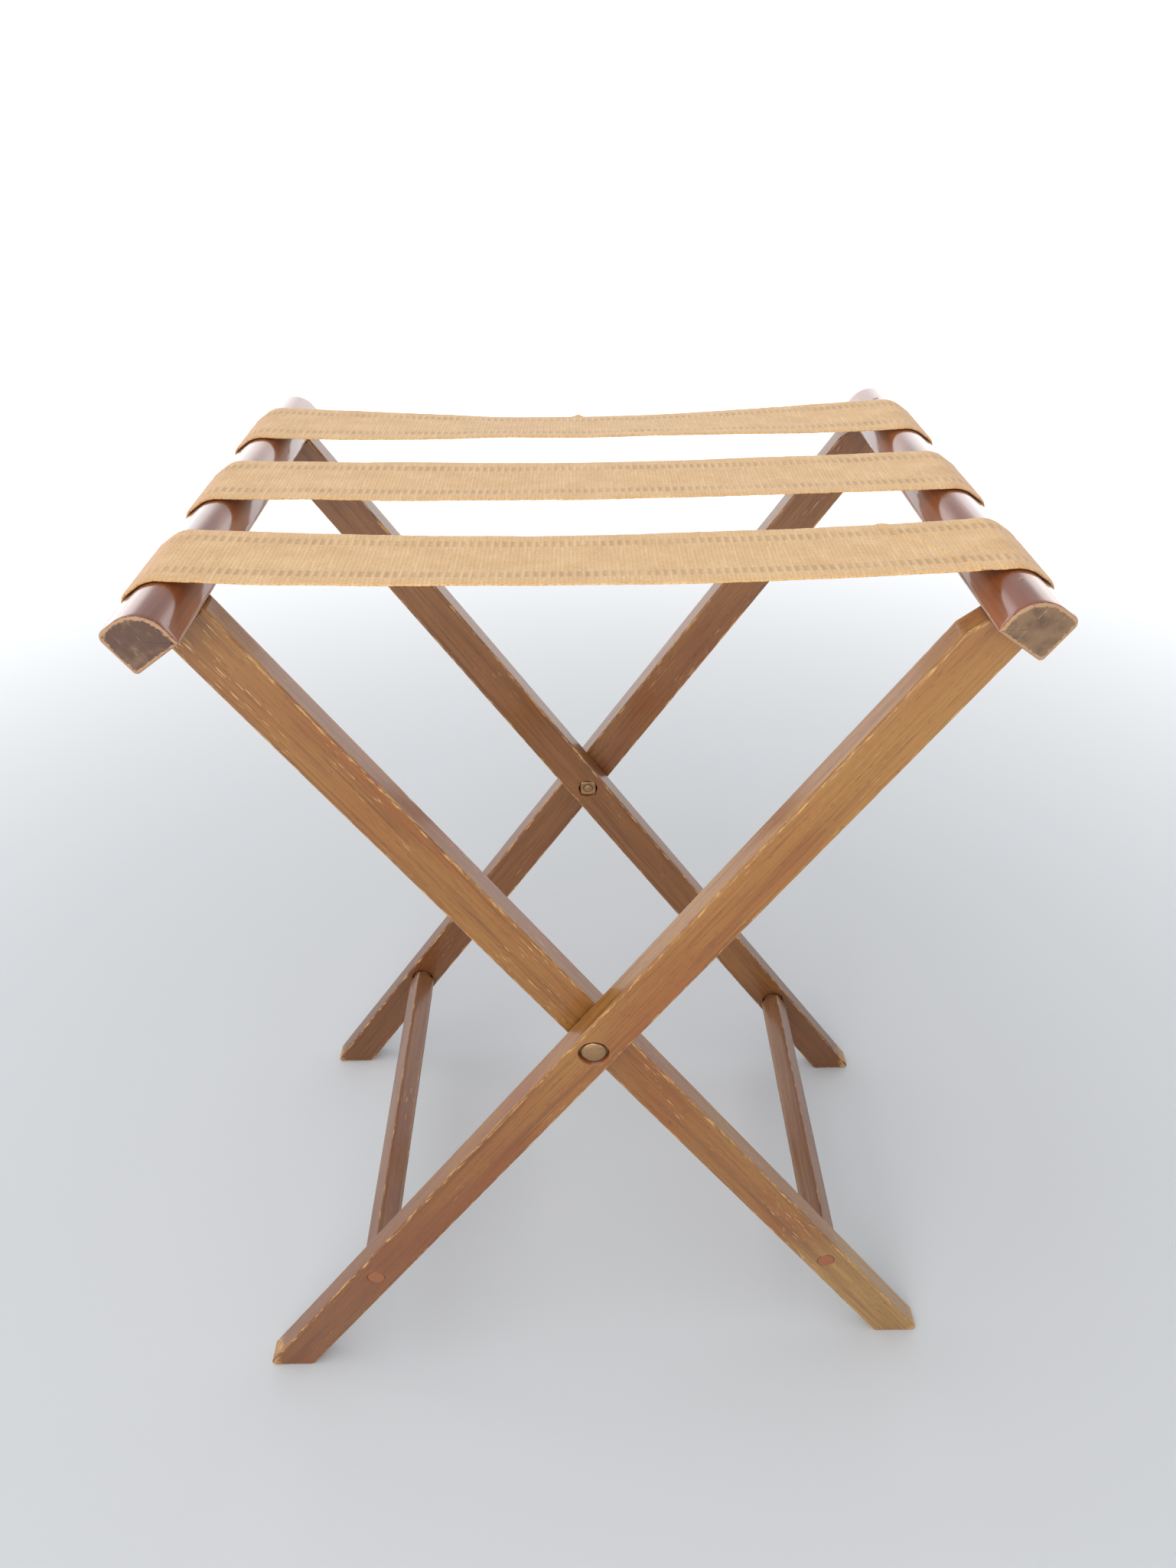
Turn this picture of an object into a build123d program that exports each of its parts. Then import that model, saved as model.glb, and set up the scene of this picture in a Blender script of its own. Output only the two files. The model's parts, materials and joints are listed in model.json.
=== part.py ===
"""Folding luggage rack: two hardwood frames crossed on a pair of bolts, joined at the top by
three jute webbing straps. Millimetres, +Z up, +X to the right, +Y to the back. The origin is on the
floor, midway between the four feet. It is modelled standing open, as it is used."""

from build123d import *
import math
import os

# Driving dimensions
LEG_WIDTH = 25.0
LEG_THICKNESS = 15.0
LEAN = 35.2  # degrees from upright to a leg, when open
PIVOT_HEIGHT = 292.7
LEG_ABOVE_PIVOT = 304.0  # from the pivot to the underside of the top rail
DEPTH_OVER_LEGS = 288.0
RAIL_LENGTH = 322.0
RAIL_HEIGHT = 22.4
RAIL_DOME_RADIUS = 15.0
WEBBING_WIDTH = 58.0
WEBBING_THICKNESS = 1.8
STRAP_PITCH = 99.5
BOLT_DIAMETER = 6.35

# Wood details
EDGE_ROUND = 1.2
TOE_ROUND = 3.5
HEEL_ROUND = 2.0
TENON_HALF_WIDTH = 8.0
TENON_THICKNESS = 9.0
TENON_LENGTH = 14.0
SHOULDER_CUT = (4.0, 12.0)  # depth and length of the cut corner at the top of each outer leg
RAIL_OUTER_ROUND = 4.0
RAIL_LOWER_ROUND = 2.0
RAIL_END_ROUND = 0.8
STRETCHER_SIDE = 15.0
STRETCHER_BELOW_PIVOT = {"outer": 240.5, "inner": 259.5}  # along the leg
STRETCHER_TENON_RADIUS = 5.5
STRETCHER_SOCKET_RADIUS = 8.0
STRETCHER_SOCKET_DEPTH = 2.0
STRETCHER_NECK_RADIUS = 7.4
STRETCHER_NECK_LENGTH = 6.0

# Pivot hardware
PIVOT_GAP = 2.0  # between an outer leg and the inner leg beside it
RUNNING_CLEARANCE = 0.08
FACE_CLEARANCE = 0.3
SEAT_CLEARANCE = 0.1
BOLT_HEAD_RADIUS = 6.8
BOLT_HEAD_HEIGHT = 3.0
HEAD_RECESS_RADIUS = 9.4
HEAD_RECESS_DEPTH = 4.4
HEAD_WASHER_RADIUS = 8.4
HEAD_WASHER_THICKNESS = 1.2
SPACER_WASHER_RADIUS = 9.0
NUT_SIDE = 11.1
NUT_THICKNESS = 4.8
NUT_RECESS_RADIUS = 6.8
NUT_RECESS_DEPTH = 5.6
BOLT_PAST_NUT = 0.6

# Webbing and its fixings
HEM_LENGTH = 12.0
HEM_ABOVE_RAIL_BOTTOM = 4.0
SPAN_END_GAP = 0.15
TACKS_PER_END = 4
TACK_PITCH = 14.0
TACK_HEAD_RADIUS = 3.4
TACK_HEAD_HEIGHT = 1.5
TACK_SHANK_RADIUS = 0.7
TACK_SHANK_LENGTH = 11.0
BRAD_RADIUS = 0.9
BRAD_HEAD_RADIUS = 1.6
BRAD_HEAD_THICKNESS = 0.8
BRAD_LENGTH = 20.0
PIN_HOLE_CLEARANCE = 0.03

# Worked out from the dimensions above
SIN_LEAN = math.sin(math.radians(LEAN))
COS_LEAN = math.cos(math.radians(LEAN))
HALF_WIDTH = LEG_WIDTH / 2
OUTER_LEG_Y = DEPTH_OVER_LEGS / 2 - LEG_THICKNESS / 2
INNER_LEG_Y = OUTER_LEG_Y - LEG_THICKNESS - PIVOT_GAP
LEG_Y = {"outer": OUTER_LEG_Y, "inner": INNER_LEG_Y}
SIDE = {"outer": 1, "inner": -1}  # the side that the frame's top leans to
ENDS = {"front": -1, "back": 1}
STRAPS = {"front": -STRAP_PITCH, "middle": 0.0, "back": STRAP_PITCH}
DOME_N = HALF_WIDTH - RAIL_DOME_RADIUS
DOME_S = LEG_ABOVE_PIVOT + RAIL_HEIGHT - RAIL_DOME_RADIUS
DOME_X = DOME_S * SIN_LEAN - DOME_N * COS_LEAN
DOME_Z = PIVOT_HEIGHT + DOME_S * COS_LEAN + DOME_N * SIN_LEAN
WEBBING_TOP = DOME_Z + RAIL_DOME_RADIUS + WEBBING_THICKNESS


def section_plane(y):
    """Plane across a frame that leans to the right: local x is square to the leg, towards the
    straps, and local y runs up the leg from the pivot."""
    return Plane(origin=(0, y, PIVOT_HEIGHT), x_dir=(-COS_LEAN, 0, SIN_LEAN), z_dir=(0, 1, 0))


def slab(sketch, y, thickness):
    """Extrude a section by thickness, half each side of y."""
    return extrude(section_plane(y - thickness / 2) * sketch, amount=thickness)


def for_frame(shape, frame):
    """The shape as built for the outer frame, or its mirror image for the inner one."""
    return shape if SIDE[frame] > 0 else mirror(shape, about=Plane.YZ)


def rod(radius, y_from, y_to, n=0.0, s=0.0):
    """Cylinder along Y between two places, through the point n, s of the section plane."""
    start = section_plane(min(y_from, y_to))
    return start * Pos(n, s, abs(y_to - y_from) / 2) * Cylinder(radius, abs(y_to - y_from))


def floor_s(n):
    """How far along the leg the floor is, at a distance n from the leg's centre line."""
    return -(PIVOT_HEIGHT + n * SIN_LEAN) / COS_LEAN


def leg_blank(frame, y):
    """A bar from the floor to the rail, its toe and heel rounded, with a tenon at its top."""
    cut_depth, cut_length = SHOULDER_CUT if frame == "outer" else (0.0, 0.0)
    top = [(HALF_WIDTH, LEG_ABOVE_PIVOT)]
    if cut_depth:
        top = [(HALF_WIDTH, LEG_ABOVE_PIVOT - cut_length), (HALF_WIDTH - cut_depth, LEG_ABOVE_PIVOT)]
    outline = [(-HALF_WIDTH, LEG_ABOVE_PIVOT), (-HALF_WIDTH, floor_s(-HALF_WIDTH))]
    outline += [(HALF_WIDTH, floor_s(HALF_WIDTH))] + top
    face = make_face(Polyline(*outline, close=True))
    by_height = face.vertices().sort_by(Axis.Y)
    face = fillet(by_height[0], TOE_ROUND)
    heel = [v for v in face.vertices() if abs(v.Y - floor_s(-HALF_WIDTH)) < 1e-6 and v.X < 0]
    face = fillet(heel, HEEL_ROUND)
    bar = slab(face, y, LEG_THICKNESS)
    leg_direction = Vector(SIN_LEAN, 0, COS_LEAN)
    long_edges = [
        e
        for e in bar.edges()
        if e.length > LEG_ABOVE_PIVOT and abs((e @ 1 - e @ 0).normalized().dot(leg_direction)) > 0.999
    ]
    bar = fillet(long_edges, EDGE_ROUND)
    middle_s = LEG_ABOVE_PIVOT + TENON_LENGTH / 2 - 1
    tenon = Pos(0, middle_s) * Rectangle(2 * TENON_HALF_WIDTH, TENON_LENGTH + 2)
    return bar + slab(tenon, y, TENON_THICKNESS)


def stretcher_sockets(frame, y, inward):
    """Through hole for a stretcher's tenon, and the shallow socket for its round neck."""
    s = -STRETCHER_BELOW_PIVOT[frame]
    hole = rod(STRETCHER_TENON_RADIUS + PIN_HOLE_CLEARANCE, y - LEG_THICKNESS, y + LEG_THICKNESS, 0, s)
    face_y = y + inward * LEG_THICKNESS / 2
    socket = rod(STRETCHER_SOCKET_RADIUS, face_y - inward * STRETCHER_SOCKET_DEPTH, face_y + inward, 0, s)
    return hole + socket


def outer_leg(end):
    """Leg of the outer frame: bolt hole, counterbore for the bolt's head on its outer face."""
    y = ENDS[end] * OUTER_LEG_Y
    outer_face = ENDS[end] * DEPTH_OVER_LEGS / 2
    bore = rod(BOLT_DIAMETER / 2 + RUNNING_CLEARANCE, y - LEG_THICKNESS, y + LEG_THICKNESS)
    recess = rod(HEAD_RECESS_RADIUS, outer_face - ENDS[end] * HEAD_RECESS_DEPTH, outer_face + ENDS[end])
    return leg_blank("outer", y) - bore - recess - stretcher_sockets("outer", y, -ENDS[end]) - brads("outer")


def inner_leg(end):
    """Leg of the inner frame: bolt hole, counterbore with the nut's square bitten into it."""
    y = ENDS[end] * INNER_LEG_Y
    inner_face = y - ENDS[end] * LEG_THICKNESS / 2
    bore = rod(BOLT_DIAMETER / 2 + RUNNING_CLEARANCE, y - LEG_THICKNESS, y + LEG_THICKNESS)
    bottom = inner_face + ENDS[end] * NUT_RECESS_DEPTH
    recess = rod(NUT_RECESS_RADIUS, bottom, inner_face - ENDS[end])
    corners = nut_block(bottom, inner_face - ENDS[end], NUT_SIDE)
    leg = leg_blank("inner", y) - bore - recess - corners
    leg -= stretcher_sockets("inner", y, -ENDS[end])
    return mirror(leg, about=Plane.YZ) - brads("inner") - tack_shanks("inner")


def nut_block(y_from, y_to, side):
    """Square block along Y at the pivot, its sides square to the floor."""
    middle = (y_from + y_to) / 2
    return Pos(0, middle, PIVOT_HEIGHT) * Box(side, abs(y_to - y_from), side)


def rail_section():
    """Square bar with a large round on its upper inner corner and small ones outside."""
    low, high = LEG_ABOVE_PIVOT, LEG_ABOVE_PIVOT + RAIL_HEIGHT
    corners = [(-HALF_WIDTH, low), (HALF_WIDTH, low), (HALF_WIDTH, high), (-HALF_WIDTH, high)]
    face = make_face(Polyline(*corners, close=True))
    rounds = [(corners[2], RAIL_DOME_RADIUS), (corners[3], RAIL_OUTER_ROUND), (corners[0], RAIL_LOWER_ROUND)]
    for corner, radius in rounds:
        vertex = face.vertices().sort_by_distance(corner)[0]
        face = fillet(vertex, radius)
    return face


def rail(frame):
    """Top rail with a mortise for each leg's tenon and a hole for each tack and brad."""
    blank = slab(rail_section(), 0, RAIL_LENGTH)
    end_edges = [e for e in blank.edges() if abs(abs(e.center().Y) - RAIL_LENGTH / 2) < 1e-6]
    blank = chamfer(end_edges, RAIL_END_ROUND)
    for end in ENDS.values():
        middle_s = LEG_ABOVE_PIVOT + TENON_LENGTH / 2 - 1
        mortise = Pos(0, middle_s) * Rectangle(2 * TENON_HALF_WIDTH, TENON_LENGTH + 2)
        blank -= slab(mortise, end * LEG_Y[frame], TENON_THICKNESS)
    return for_frame(blank, frame) - tack_shanks(frame) - brads(frame)


def stretcher(frame):
    """Square bar along Y whose ends are turned to a round neck and a tenon through each leg."""
    s = -STRETCHER_BELOW_PIVOT[frame]
    inside = LEG_Y[frame] - LEG_THICKNESS / 2
    outside = LEG_Y[frame] + LEG_THICKNESS / 2
    square_length = 2 * (inside - STRETCHER_NECK_LENGTH + STRETCHER_SOCKET_DEPTH)
    bar = slab(Pos(0, s) * RectangleRounded(STRETCHER_SIDE, STRETCHER_SIDE, EDGE_ROUND), 0, square_length)
    neck_end = inside + STRETCHER_SOCKET_DEPTH
    neck = rod(STRETCHER_NECK_RADIUS, -neck_end, neck_end, 0, s)
    tenon = rod(STRETCHER_TENON_RADIUS, -outside, outside, 0, s)
    return for_frame(bar + neck + tenon, frame)


def pivot_bolt(end):
    """Bolt with a low domed head, from the outer leg's counterbore to just past the nut."""
    out = ENDS[end]
    seat = out * (DEPTH_OVER_LEGS / 2 - HEAD_RECESS_DEPTH + SEAT_CLEARANCE + HEAD_WASHER_THICKNESS)
    shank = rod(BOLT_DIAMETER / 2, nut_outer_y(end) - out * BOLT_PAST_NUT, seat + out)
    ball_radius = (BOLT_HEAD_RADIUS**2 + BOLT_HEAD_HEIGHT**2) / (2 * BOLT_HEAD_HEIGHT)
    ball_y = seat + out * (BOLT_HEAD_HEIGHT - ball_radius)
    dome = Pos(0, ball_y, PIVOT_HEIGHT) * Sphere(ball_radius)
    dome &= rod(BOLT_HEAD_RADIUS, seat, seat + out * 2 * BOLT_HEAD_HEIGHT)
    return shank + dome


def nut_outer_y(end):
    """Where the nut's free face is: just below the inner leg's inner face."""
    return ENDS[end] * (INNER_LEG_Y - LEG_THICKNESS / 2 + NUT_RECESS_DEPTH - NUT_THICKNESS)


def square_nut(end):
    """Square nut seated in the inner leg, around the bolt."""
    free_face = nut_outer_y(end)
    seated_face = free_face + ENDS[end] * NUT_THICKNESS
    hole = rod(BOLT_DIAMETER / 2 + PIN_HOLE_CLEARANCE, free_face, seated_face)
    return nut_block(free_face, seated_face, NUT_SIDE) - hole


def washer(y_near, y_far, radius):
    """Flat ring around the bolt between two places along Y."""
    hole = rod(BOLT_DIAMETER / 2 + PIN_HOLE_CLEARANCE, y_near, y_far)
    return rod(radius, y_near, y_far) - hole


def head_washer(end):
    """Washer between the bolt's head and the bottom of its counterbore."""
    low = DEPTH_OVER_LEGS / 2 - HEAD_RECESS_DEPTH + SEAT_CLEARANCE
    return washer(ENDS[end] * low, ENDS[end] * (low + HEAD_WASHER_THICKNESS), HEAD_WASHER_RADIUS)


def spacer_washer(end):
    """Thin washer that keeps the crossing legs apart, against the inner leg."""
    low = INNER_LEG_Y + LEG_THICKNESS / 2
    return washer(ENDS[end] * low, ENDS[end] * (low + PIVOT_GAP - FACE_CLEARANCE), SPACER_WASHER_RADIUS)


def wrap(frame, strap):
    """The end of a strap: over the rail, down its outer side and folded double where it is tacked."""
    ring = offset(rail_section(), amount=WEBBING_THICKNESS) - rail_section()
    low = LEG_ABOVE_PIVOT + HEM_ABOVE_RAIL_BOTTOM
    reach = 3 * RAIL_HEIGHT
    along_span = Vector(COS_LEAN, -SIN_LEAN)
    upright = Vector(SIN_LEAN, COS_LEAN)
    dome = Vector(DOME_N, DOME_S)
    outside = [dome - upright * reach, dome + upright * reach]
    outside += [outside[1] - along_span * reach, outside[0] - along_span * reach]
    clip = make_face(Polyline(*[(p.X, p.Y) for p in outside], close=True))
    clip &= Pos(0, low + reach) * Rectangle(4 * reach, 2 * reach)
    web = -HALF_WIDTH - WEBBING_THICKNESS
    fold = web - WEBBING_THICKNESS
    hem_top = low + HEM_LENGTH
    hem = [(web, low), (fold, low), (fold, hem_top - WEBBING_THICKNESS), (web, hem_top + WEBBING_THICKNESS)]
    profile = (ring & clip) + make_face(Polyline(*hem, close=True))
    piece = for_frame(slab(profile, STRAPS[strap], WEBBING_WIDTH), frame)
    return piece - tack_shanks(frame)


def span(frame, strap):
    """Half of a strap, from its rail's highest line to midway between the rails."""
    inner_x, outer_x = SPAN_END_GAP, DOME_X - FACE_CLEARANCE
    low = DOME_Z + RAIL_DOME_RADIUS + FACE_CLEARANCE
    middle = (SIDE[frame] * (inner_x + outer_x) / 2, STRAPS[strap], (low + WEBBING_TOP) / 2)
    return Pos(*middle) * Box(outer_x - inner_x, WEBBING_WIDTH, WEBBING_TOP - low)


def tack_places():
    """Y positions of all the tacks on one rail."""
    first = -(TACKS_PER_END - 1) / 2 * TACK_PITCH
    return [y + first + i * TACK_PITCH for y in STRAPS.values() for i in range(TACKS_PER_END)]


def tack_plane(y):
    """Plane on the hem's outer face at tack height, its normal pointing away from the rail."""
    n = -HALF_WIDTH - 2 * WEBBING_THICKNESS
    s = LEG_ABOVE_PIVOT + HEM_ABOVE_RAIL_BOTTOM + HEM_LENGTH / 2
    x = s * SIN_LEAN - n * COS_LEAN
    z = PIVOT_HEIGHT + s * COS_LEAN + n * SIN_LEAN
    return Plane(origin=(x, y, z), x_dir=(0, 1, 0), z_dir=(COS_LEAN, 0, -SIN_LEAN))


def tack_shanks(frame):
    """The holes that the tacks' shanks make, as one tool."""
    radius = TACK_SHANK_RADIUS + PIN_HOLE_CLEARANCE
    depth = TACK_SHANK_LENGTH + PIN_HOLE_CLEARANCE
    shanks = [tack_plane(y) * Pos(0, 0, -depth / 2) * Cylinder(radius, depth) for y in tack_places()]
    return for_frame(Compound(shanks), frame)


def tacks(frame):
    """Domed tacks that hold the three strap ends on one rail."""
    ball_radius = (TACK_HEAD_RADIUS**2 + TACK_HEAD_HEIGHT**2) / (2 * TACK_HEAD_HEIGHT)
    head = Pos(0, 0, TACK_HEAD_HEIGHT - ball_radius) * Sphere(ball_radius)
    head &= Pos(0, 0, TACK_HEAD_HEIGHT / 2) * Cylinder(2 * TACK_HEAD_RADIUS, TACK_HEAD_HEIGHT)
    shank = Pos(0, 0, -TACK_SHANK_LENGTH / 2) * Cylinder(TACK_SHANK_RADIUS, TACK_SHANK_LENGTH)
    tack = head + shank
    return for_frame(Compound([tack_plane(y) * tack for y in tack_places()]), frame)


def brads(frame):
    """Headed nails through the rail's dome into the legs' tenons, one at each leg."""
    diagonal = math.sqrt(0.5)
    n = DOME_N + RAIL_DOME_RADIUS * diagonal
    s = DOME_S + RAIL_DOME_RADIUS * diagonal
    out = Vector(
        SIN_LEAN * diagonal - COS_LEAN * diagonal, 0, COS_LEAN * diagonal + SIN_LEAN * diagonal
    )
    x = s * SIN_LEAN - n * COS_LEAN
    z = PIVOT_HEIGHT + s * COS_LEAN + n * SIN_LEAN
    head = Pos(0, 0, -BRAD_HEAD_THICKNESS / 2) * Cylinder(BRAD_HEAD_RADIUS, BRAD_HEAD_THICKNESS)
    nail = head + Pos(0, 0, -BRAD_LENGTH / 2) * Cylinder(BRAD_RADIUS, BRAD_LENGTH)
    nails = [
        Plane(origin=(x, end * LEG_Y[frame], z), x_dir=(0, 1, 0), z_dir=out) * nail
        for end in ENDS.values()
    ]
    return for_frame(Compound(nails), frame)


def all_parts():
    """Every node's name and shape."""
    parts = {}
    for end in ENDS:
        parts[f"outer_leg_{end}"] = outer_leg(end)
        parts[f"inner_leg_{end}"] = inner_leg(end)
        parts[f"pivot_bolt_{end}"] = pivot_bolt(end)
        parts[f"square_nut_{end}"] = square_nut(end)
        parts[f"head_washer_{end}"] = head_washer(end)
        parts[f"spacer_washer_{end}"] = spacer_washer(end)
    for frame in SIDE:
        parts[f"{frame}_top_rail"] = rail(frame)
        parts[f"{frame}_stretcher"] = stretcher(frame)
        parts[f"{frame}_rail_tacks"] = tacks(frame)
        parts[f"{frame}_rail_brads"] = brads(frame)
        for strap in STRAPS:
            parts[f"{strap}_strap_{frame}_wrap"] = wrap(frame, strap)
            parts[f"{strap}_strap_{frame}_span"] = span(frame, strap)
    return parts


os.makedirs("parts", exist_ok=True)
for name, shape in all_parts().items():
    export_step(shape, f"parts/{name}.step")
print(f"strap hinge lines at x +-{DOME_X:.3f}, z {DOME_Z:.3f}; top of the webbing {WEBBING_TOP:.3f}")
print(f"legs' centres at y +-{OUTER_LEG_Y:.2f} and +-{INNER_LEG_Y:.2f}")
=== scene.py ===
# %% [markdown]
# A folding luggage rack, built up piece by piece.
# Two hardwood frames cross like a pair of scissors and turn on a bolt at each side. Three jute
# straps join their tops and stop them from opening any further.
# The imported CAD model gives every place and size. This lesson puts what the eye sees around it.

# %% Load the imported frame
import json
import math

import bpy
import numpy as np
from mathutils import Matrix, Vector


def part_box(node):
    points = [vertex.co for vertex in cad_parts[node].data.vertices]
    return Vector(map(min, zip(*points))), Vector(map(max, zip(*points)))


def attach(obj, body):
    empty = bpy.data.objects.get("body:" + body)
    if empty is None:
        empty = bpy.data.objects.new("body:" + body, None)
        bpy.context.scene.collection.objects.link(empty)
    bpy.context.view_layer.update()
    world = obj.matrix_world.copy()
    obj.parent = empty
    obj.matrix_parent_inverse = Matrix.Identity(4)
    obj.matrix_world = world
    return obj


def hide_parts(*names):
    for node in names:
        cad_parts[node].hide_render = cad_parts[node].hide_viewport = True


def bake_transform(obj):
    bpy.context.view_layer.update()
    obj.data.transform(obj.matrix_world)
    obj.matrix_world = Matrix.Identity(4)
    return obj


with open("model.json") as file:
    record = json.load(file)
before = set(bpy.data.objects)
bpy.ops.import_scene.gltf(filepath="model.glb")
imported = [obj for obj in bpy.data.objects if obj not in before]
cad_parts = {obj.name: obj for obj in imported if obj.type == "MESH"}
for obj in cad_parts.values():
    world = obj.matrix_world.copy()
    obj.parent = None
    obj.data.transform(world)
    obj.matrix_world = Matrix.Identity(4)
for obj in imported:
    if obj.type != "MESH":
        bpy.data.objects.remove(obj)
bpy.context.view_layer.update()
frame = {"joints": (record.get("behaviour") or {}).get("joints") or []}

# %% [markdown]
# The rack's own directions are easier to think in than x and z.
# Each frame has s, up the leg from the bolt, and n, square to the leg and towards the straps. The
# lean of the legs isn't typed in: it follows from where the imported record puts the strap's hinge
# line, which is the centre of the rail's rounded corner.

# %% Sizes of the wood, and the lean of the legs
MM = 0.001
LEG_WIDTH, LEG_THICKNESS, EDGE_ROUND = 25.0, 15.0, 1.2
HALF = LEG_WIDTH / 2
RAIL_LOW, RAIL_HEIGHT, DOME_RADIUS = 304.0, 22.4, 15.0
RAIL_HIGH = RAIL_LOW + RAIL_HEIGHT
DOME_N = HALF - DOME_RADIUS
joints = {joint["name"]: joint for joint in frame["joints"]}
PIVOT_Z = joints["fold"]["pos_m"][2] / MM
DOME_X, _, DOME_Z = [c / MM for c in joints["right_straps_swing"]["pos_m"]]
reach = math.hypot(DOME_X, DOME_Z - PIVOT_Z)
LEAN = math.atan2(DOME_X, DOME_Z - PIVOT_Z) - math.asin(-DOME_N / reach)
SIN, COS = math.sin(LEAN), math.cos(LEAN)
SIDE = {"outer": 1, "inner": -1}
ENDS = {"front": -1, "back": 1}
STRAP_Y = {name: sum(c[1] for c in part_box(f"{name}_strap_outer_span")) / 2 / MM
           for name in ("front", "middle", "back")}
print(f"legs lean {math.degrees(LEAN):.2f} degrees; straps at y", STRAP_Y)


# %% Frame directions to room directions
def place(side, s, n, y):
    """Point in metres. x is the side's sign times (s sin lean - n cos lean), z is the bolt's
    height plus s cos lean + n sin lean, so one formula serves a frame and its mirror image."""
    x = side * (s * SIN - n * COS)
    z = PIVOT_Z + s * COS + n * SIN
    return np.stack(np.broadcast_arrays(x, y, z), axis=-1) * MM


# %% [markdown]
# Wood that has been used for years is never quite flat or straight.
# A soft random height, drawn on a lattice and joined by smooth steps, gives the ripple of the
# plane, the dents and the chipped edges. It is the same each run, because the lattice's heights
# come from a formula and not from a dice roll.

# %% Soft random heights
def soft_noise(u, v, cell_u, cell_v, seed):
    """Height from 0 to 1: a lattice point's height is the fraction of a large sine of its row,
    column and seed, and between four lattice points it is blended with 3t^2 - 2t^3."""
    a, b = np.broadcast_arrays(u / cell_u, v / cell_v)
    i, j = np.floor(a), np.floor(b)
    fa, fb = a - i, b - j
    fa, fb = fa * fa * (3 - 2 * fa), fb * fb * (3 - 2 * fb)

    def lattice(p, q):
        return np.modf(np.abs(np.sin(p * 12.9898 + q * 78.233 + seed * 37.719) * 43758.5453))[0]

    near = lattice(i, j) * (1 - fa) + lattice(i + 1, j) * fa
    far = lattice(i, j + 1) * (1 - fa) + lattice(i + 1, j + 1) * fa
    return near * (1 - fb) + far * fb


def ease(x, low, high):
    """0 below low, 1 above high, and 3t^2 - 2t^3 between."""
    t = np.clip((x - low) / (high - low), 0, 1)
    return t * t * (3 - 2 * t)


# %% [markdown]
# Every new piece is a set of closed loops joined into a skin.
# A bar of wood is its outline carried along its length. The loops are stacked in one array, quads
# join each loop to the next, and a fan of triangles closes each end. If the skin's volume comes
# out negative, its faces point inwards and are turned round.

# %% Skins from loops
def quads_between(first, second):
    """Quads that join two closed loops of vertex numbers, corner for corner."""
    return np.stack([first, np.roll(first, -1, 0), np.roll(second, -1, 0), second], axis=-1)


def tube_faces(rows, columns):
    """All quads of a stack of closed loops, numbered row by row."""
    numbers = np.arange(rows * columns).reshape(rows, columns)
    return quads_between(numbers[:-1].T, numbers[1:].T).reshape(-1, 4)


def fan(loop, centre):
    """Triangles from a closed loop to one point."""
    return np.stack([loop, np.roll(loop, -1), np.full(len(loop), centre)], axis=-1)


def new_piece(name, points, quads, triangles, uv=None, **marks):
    """Mesh object at the origin. Six times its volume is the sum of a . (b x c) over its
    triangles, whose sign tells which way the faces look. marks are one number per vertex."""
    cut = np.concatenate([quads[:, [0, 1, 2]], quads[:, [0, 2, 3]], triangles])
    a, b, c = (points[cut[:, k]] for k in range(3))
    if np.einsum("ij,ij->", a, np.cross(b, c)) < 0:
        quads, triangles = quads[:, ::-1], triangles[:, ::-1]
    mesh = bpy.data.meshes.new(name)
    mesh.from_pydata(points.tolist(), [], quads.tolist() + triangles.tolist())
    mesh.polygons.foreach_set("use_smooth", np.ones(len(mesh.polygons), bool))
    for mark, values in marks.items():
        layer = mesh.attributes.new(mark, "FLOAT", "POINT")
        layer.data.foreach_set("value", np.ascontiguousarray(values, np.float32).ravel())
    if uv is not None:
        corner = np.zeros(len(mesh.loops), np.int32)
        mesh.loops.foreach_get("vertex_index", corner)
        layer = mesh.uv_layers.new(name="across_and_along")
        layer.data.foreach_set("uv", uv[corner].astype(np.float32).ravel())
    mesh.update()
    piece = bpy.data.objects.new(name, mesh)
    bpy.context.scene.collection.objects.link(piece)
    print(f"{name}: {len(cut)} triangles")
    return piece


# %% [markdown]
# A planed bar has soft corners. Its outline goes round a polygon: an arc at each corner, equal
# steps along each side. Each point also keeps which way is out, and how close it is to a corner,
# because that is where hands and floors wear the finish through.
# A round of 10 mm or more is too gentle to wear like a corner.

# %% Outline with rounded corners
WEAR_REACH, LARGE_ROUND = 1.5, 10.0


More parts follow.
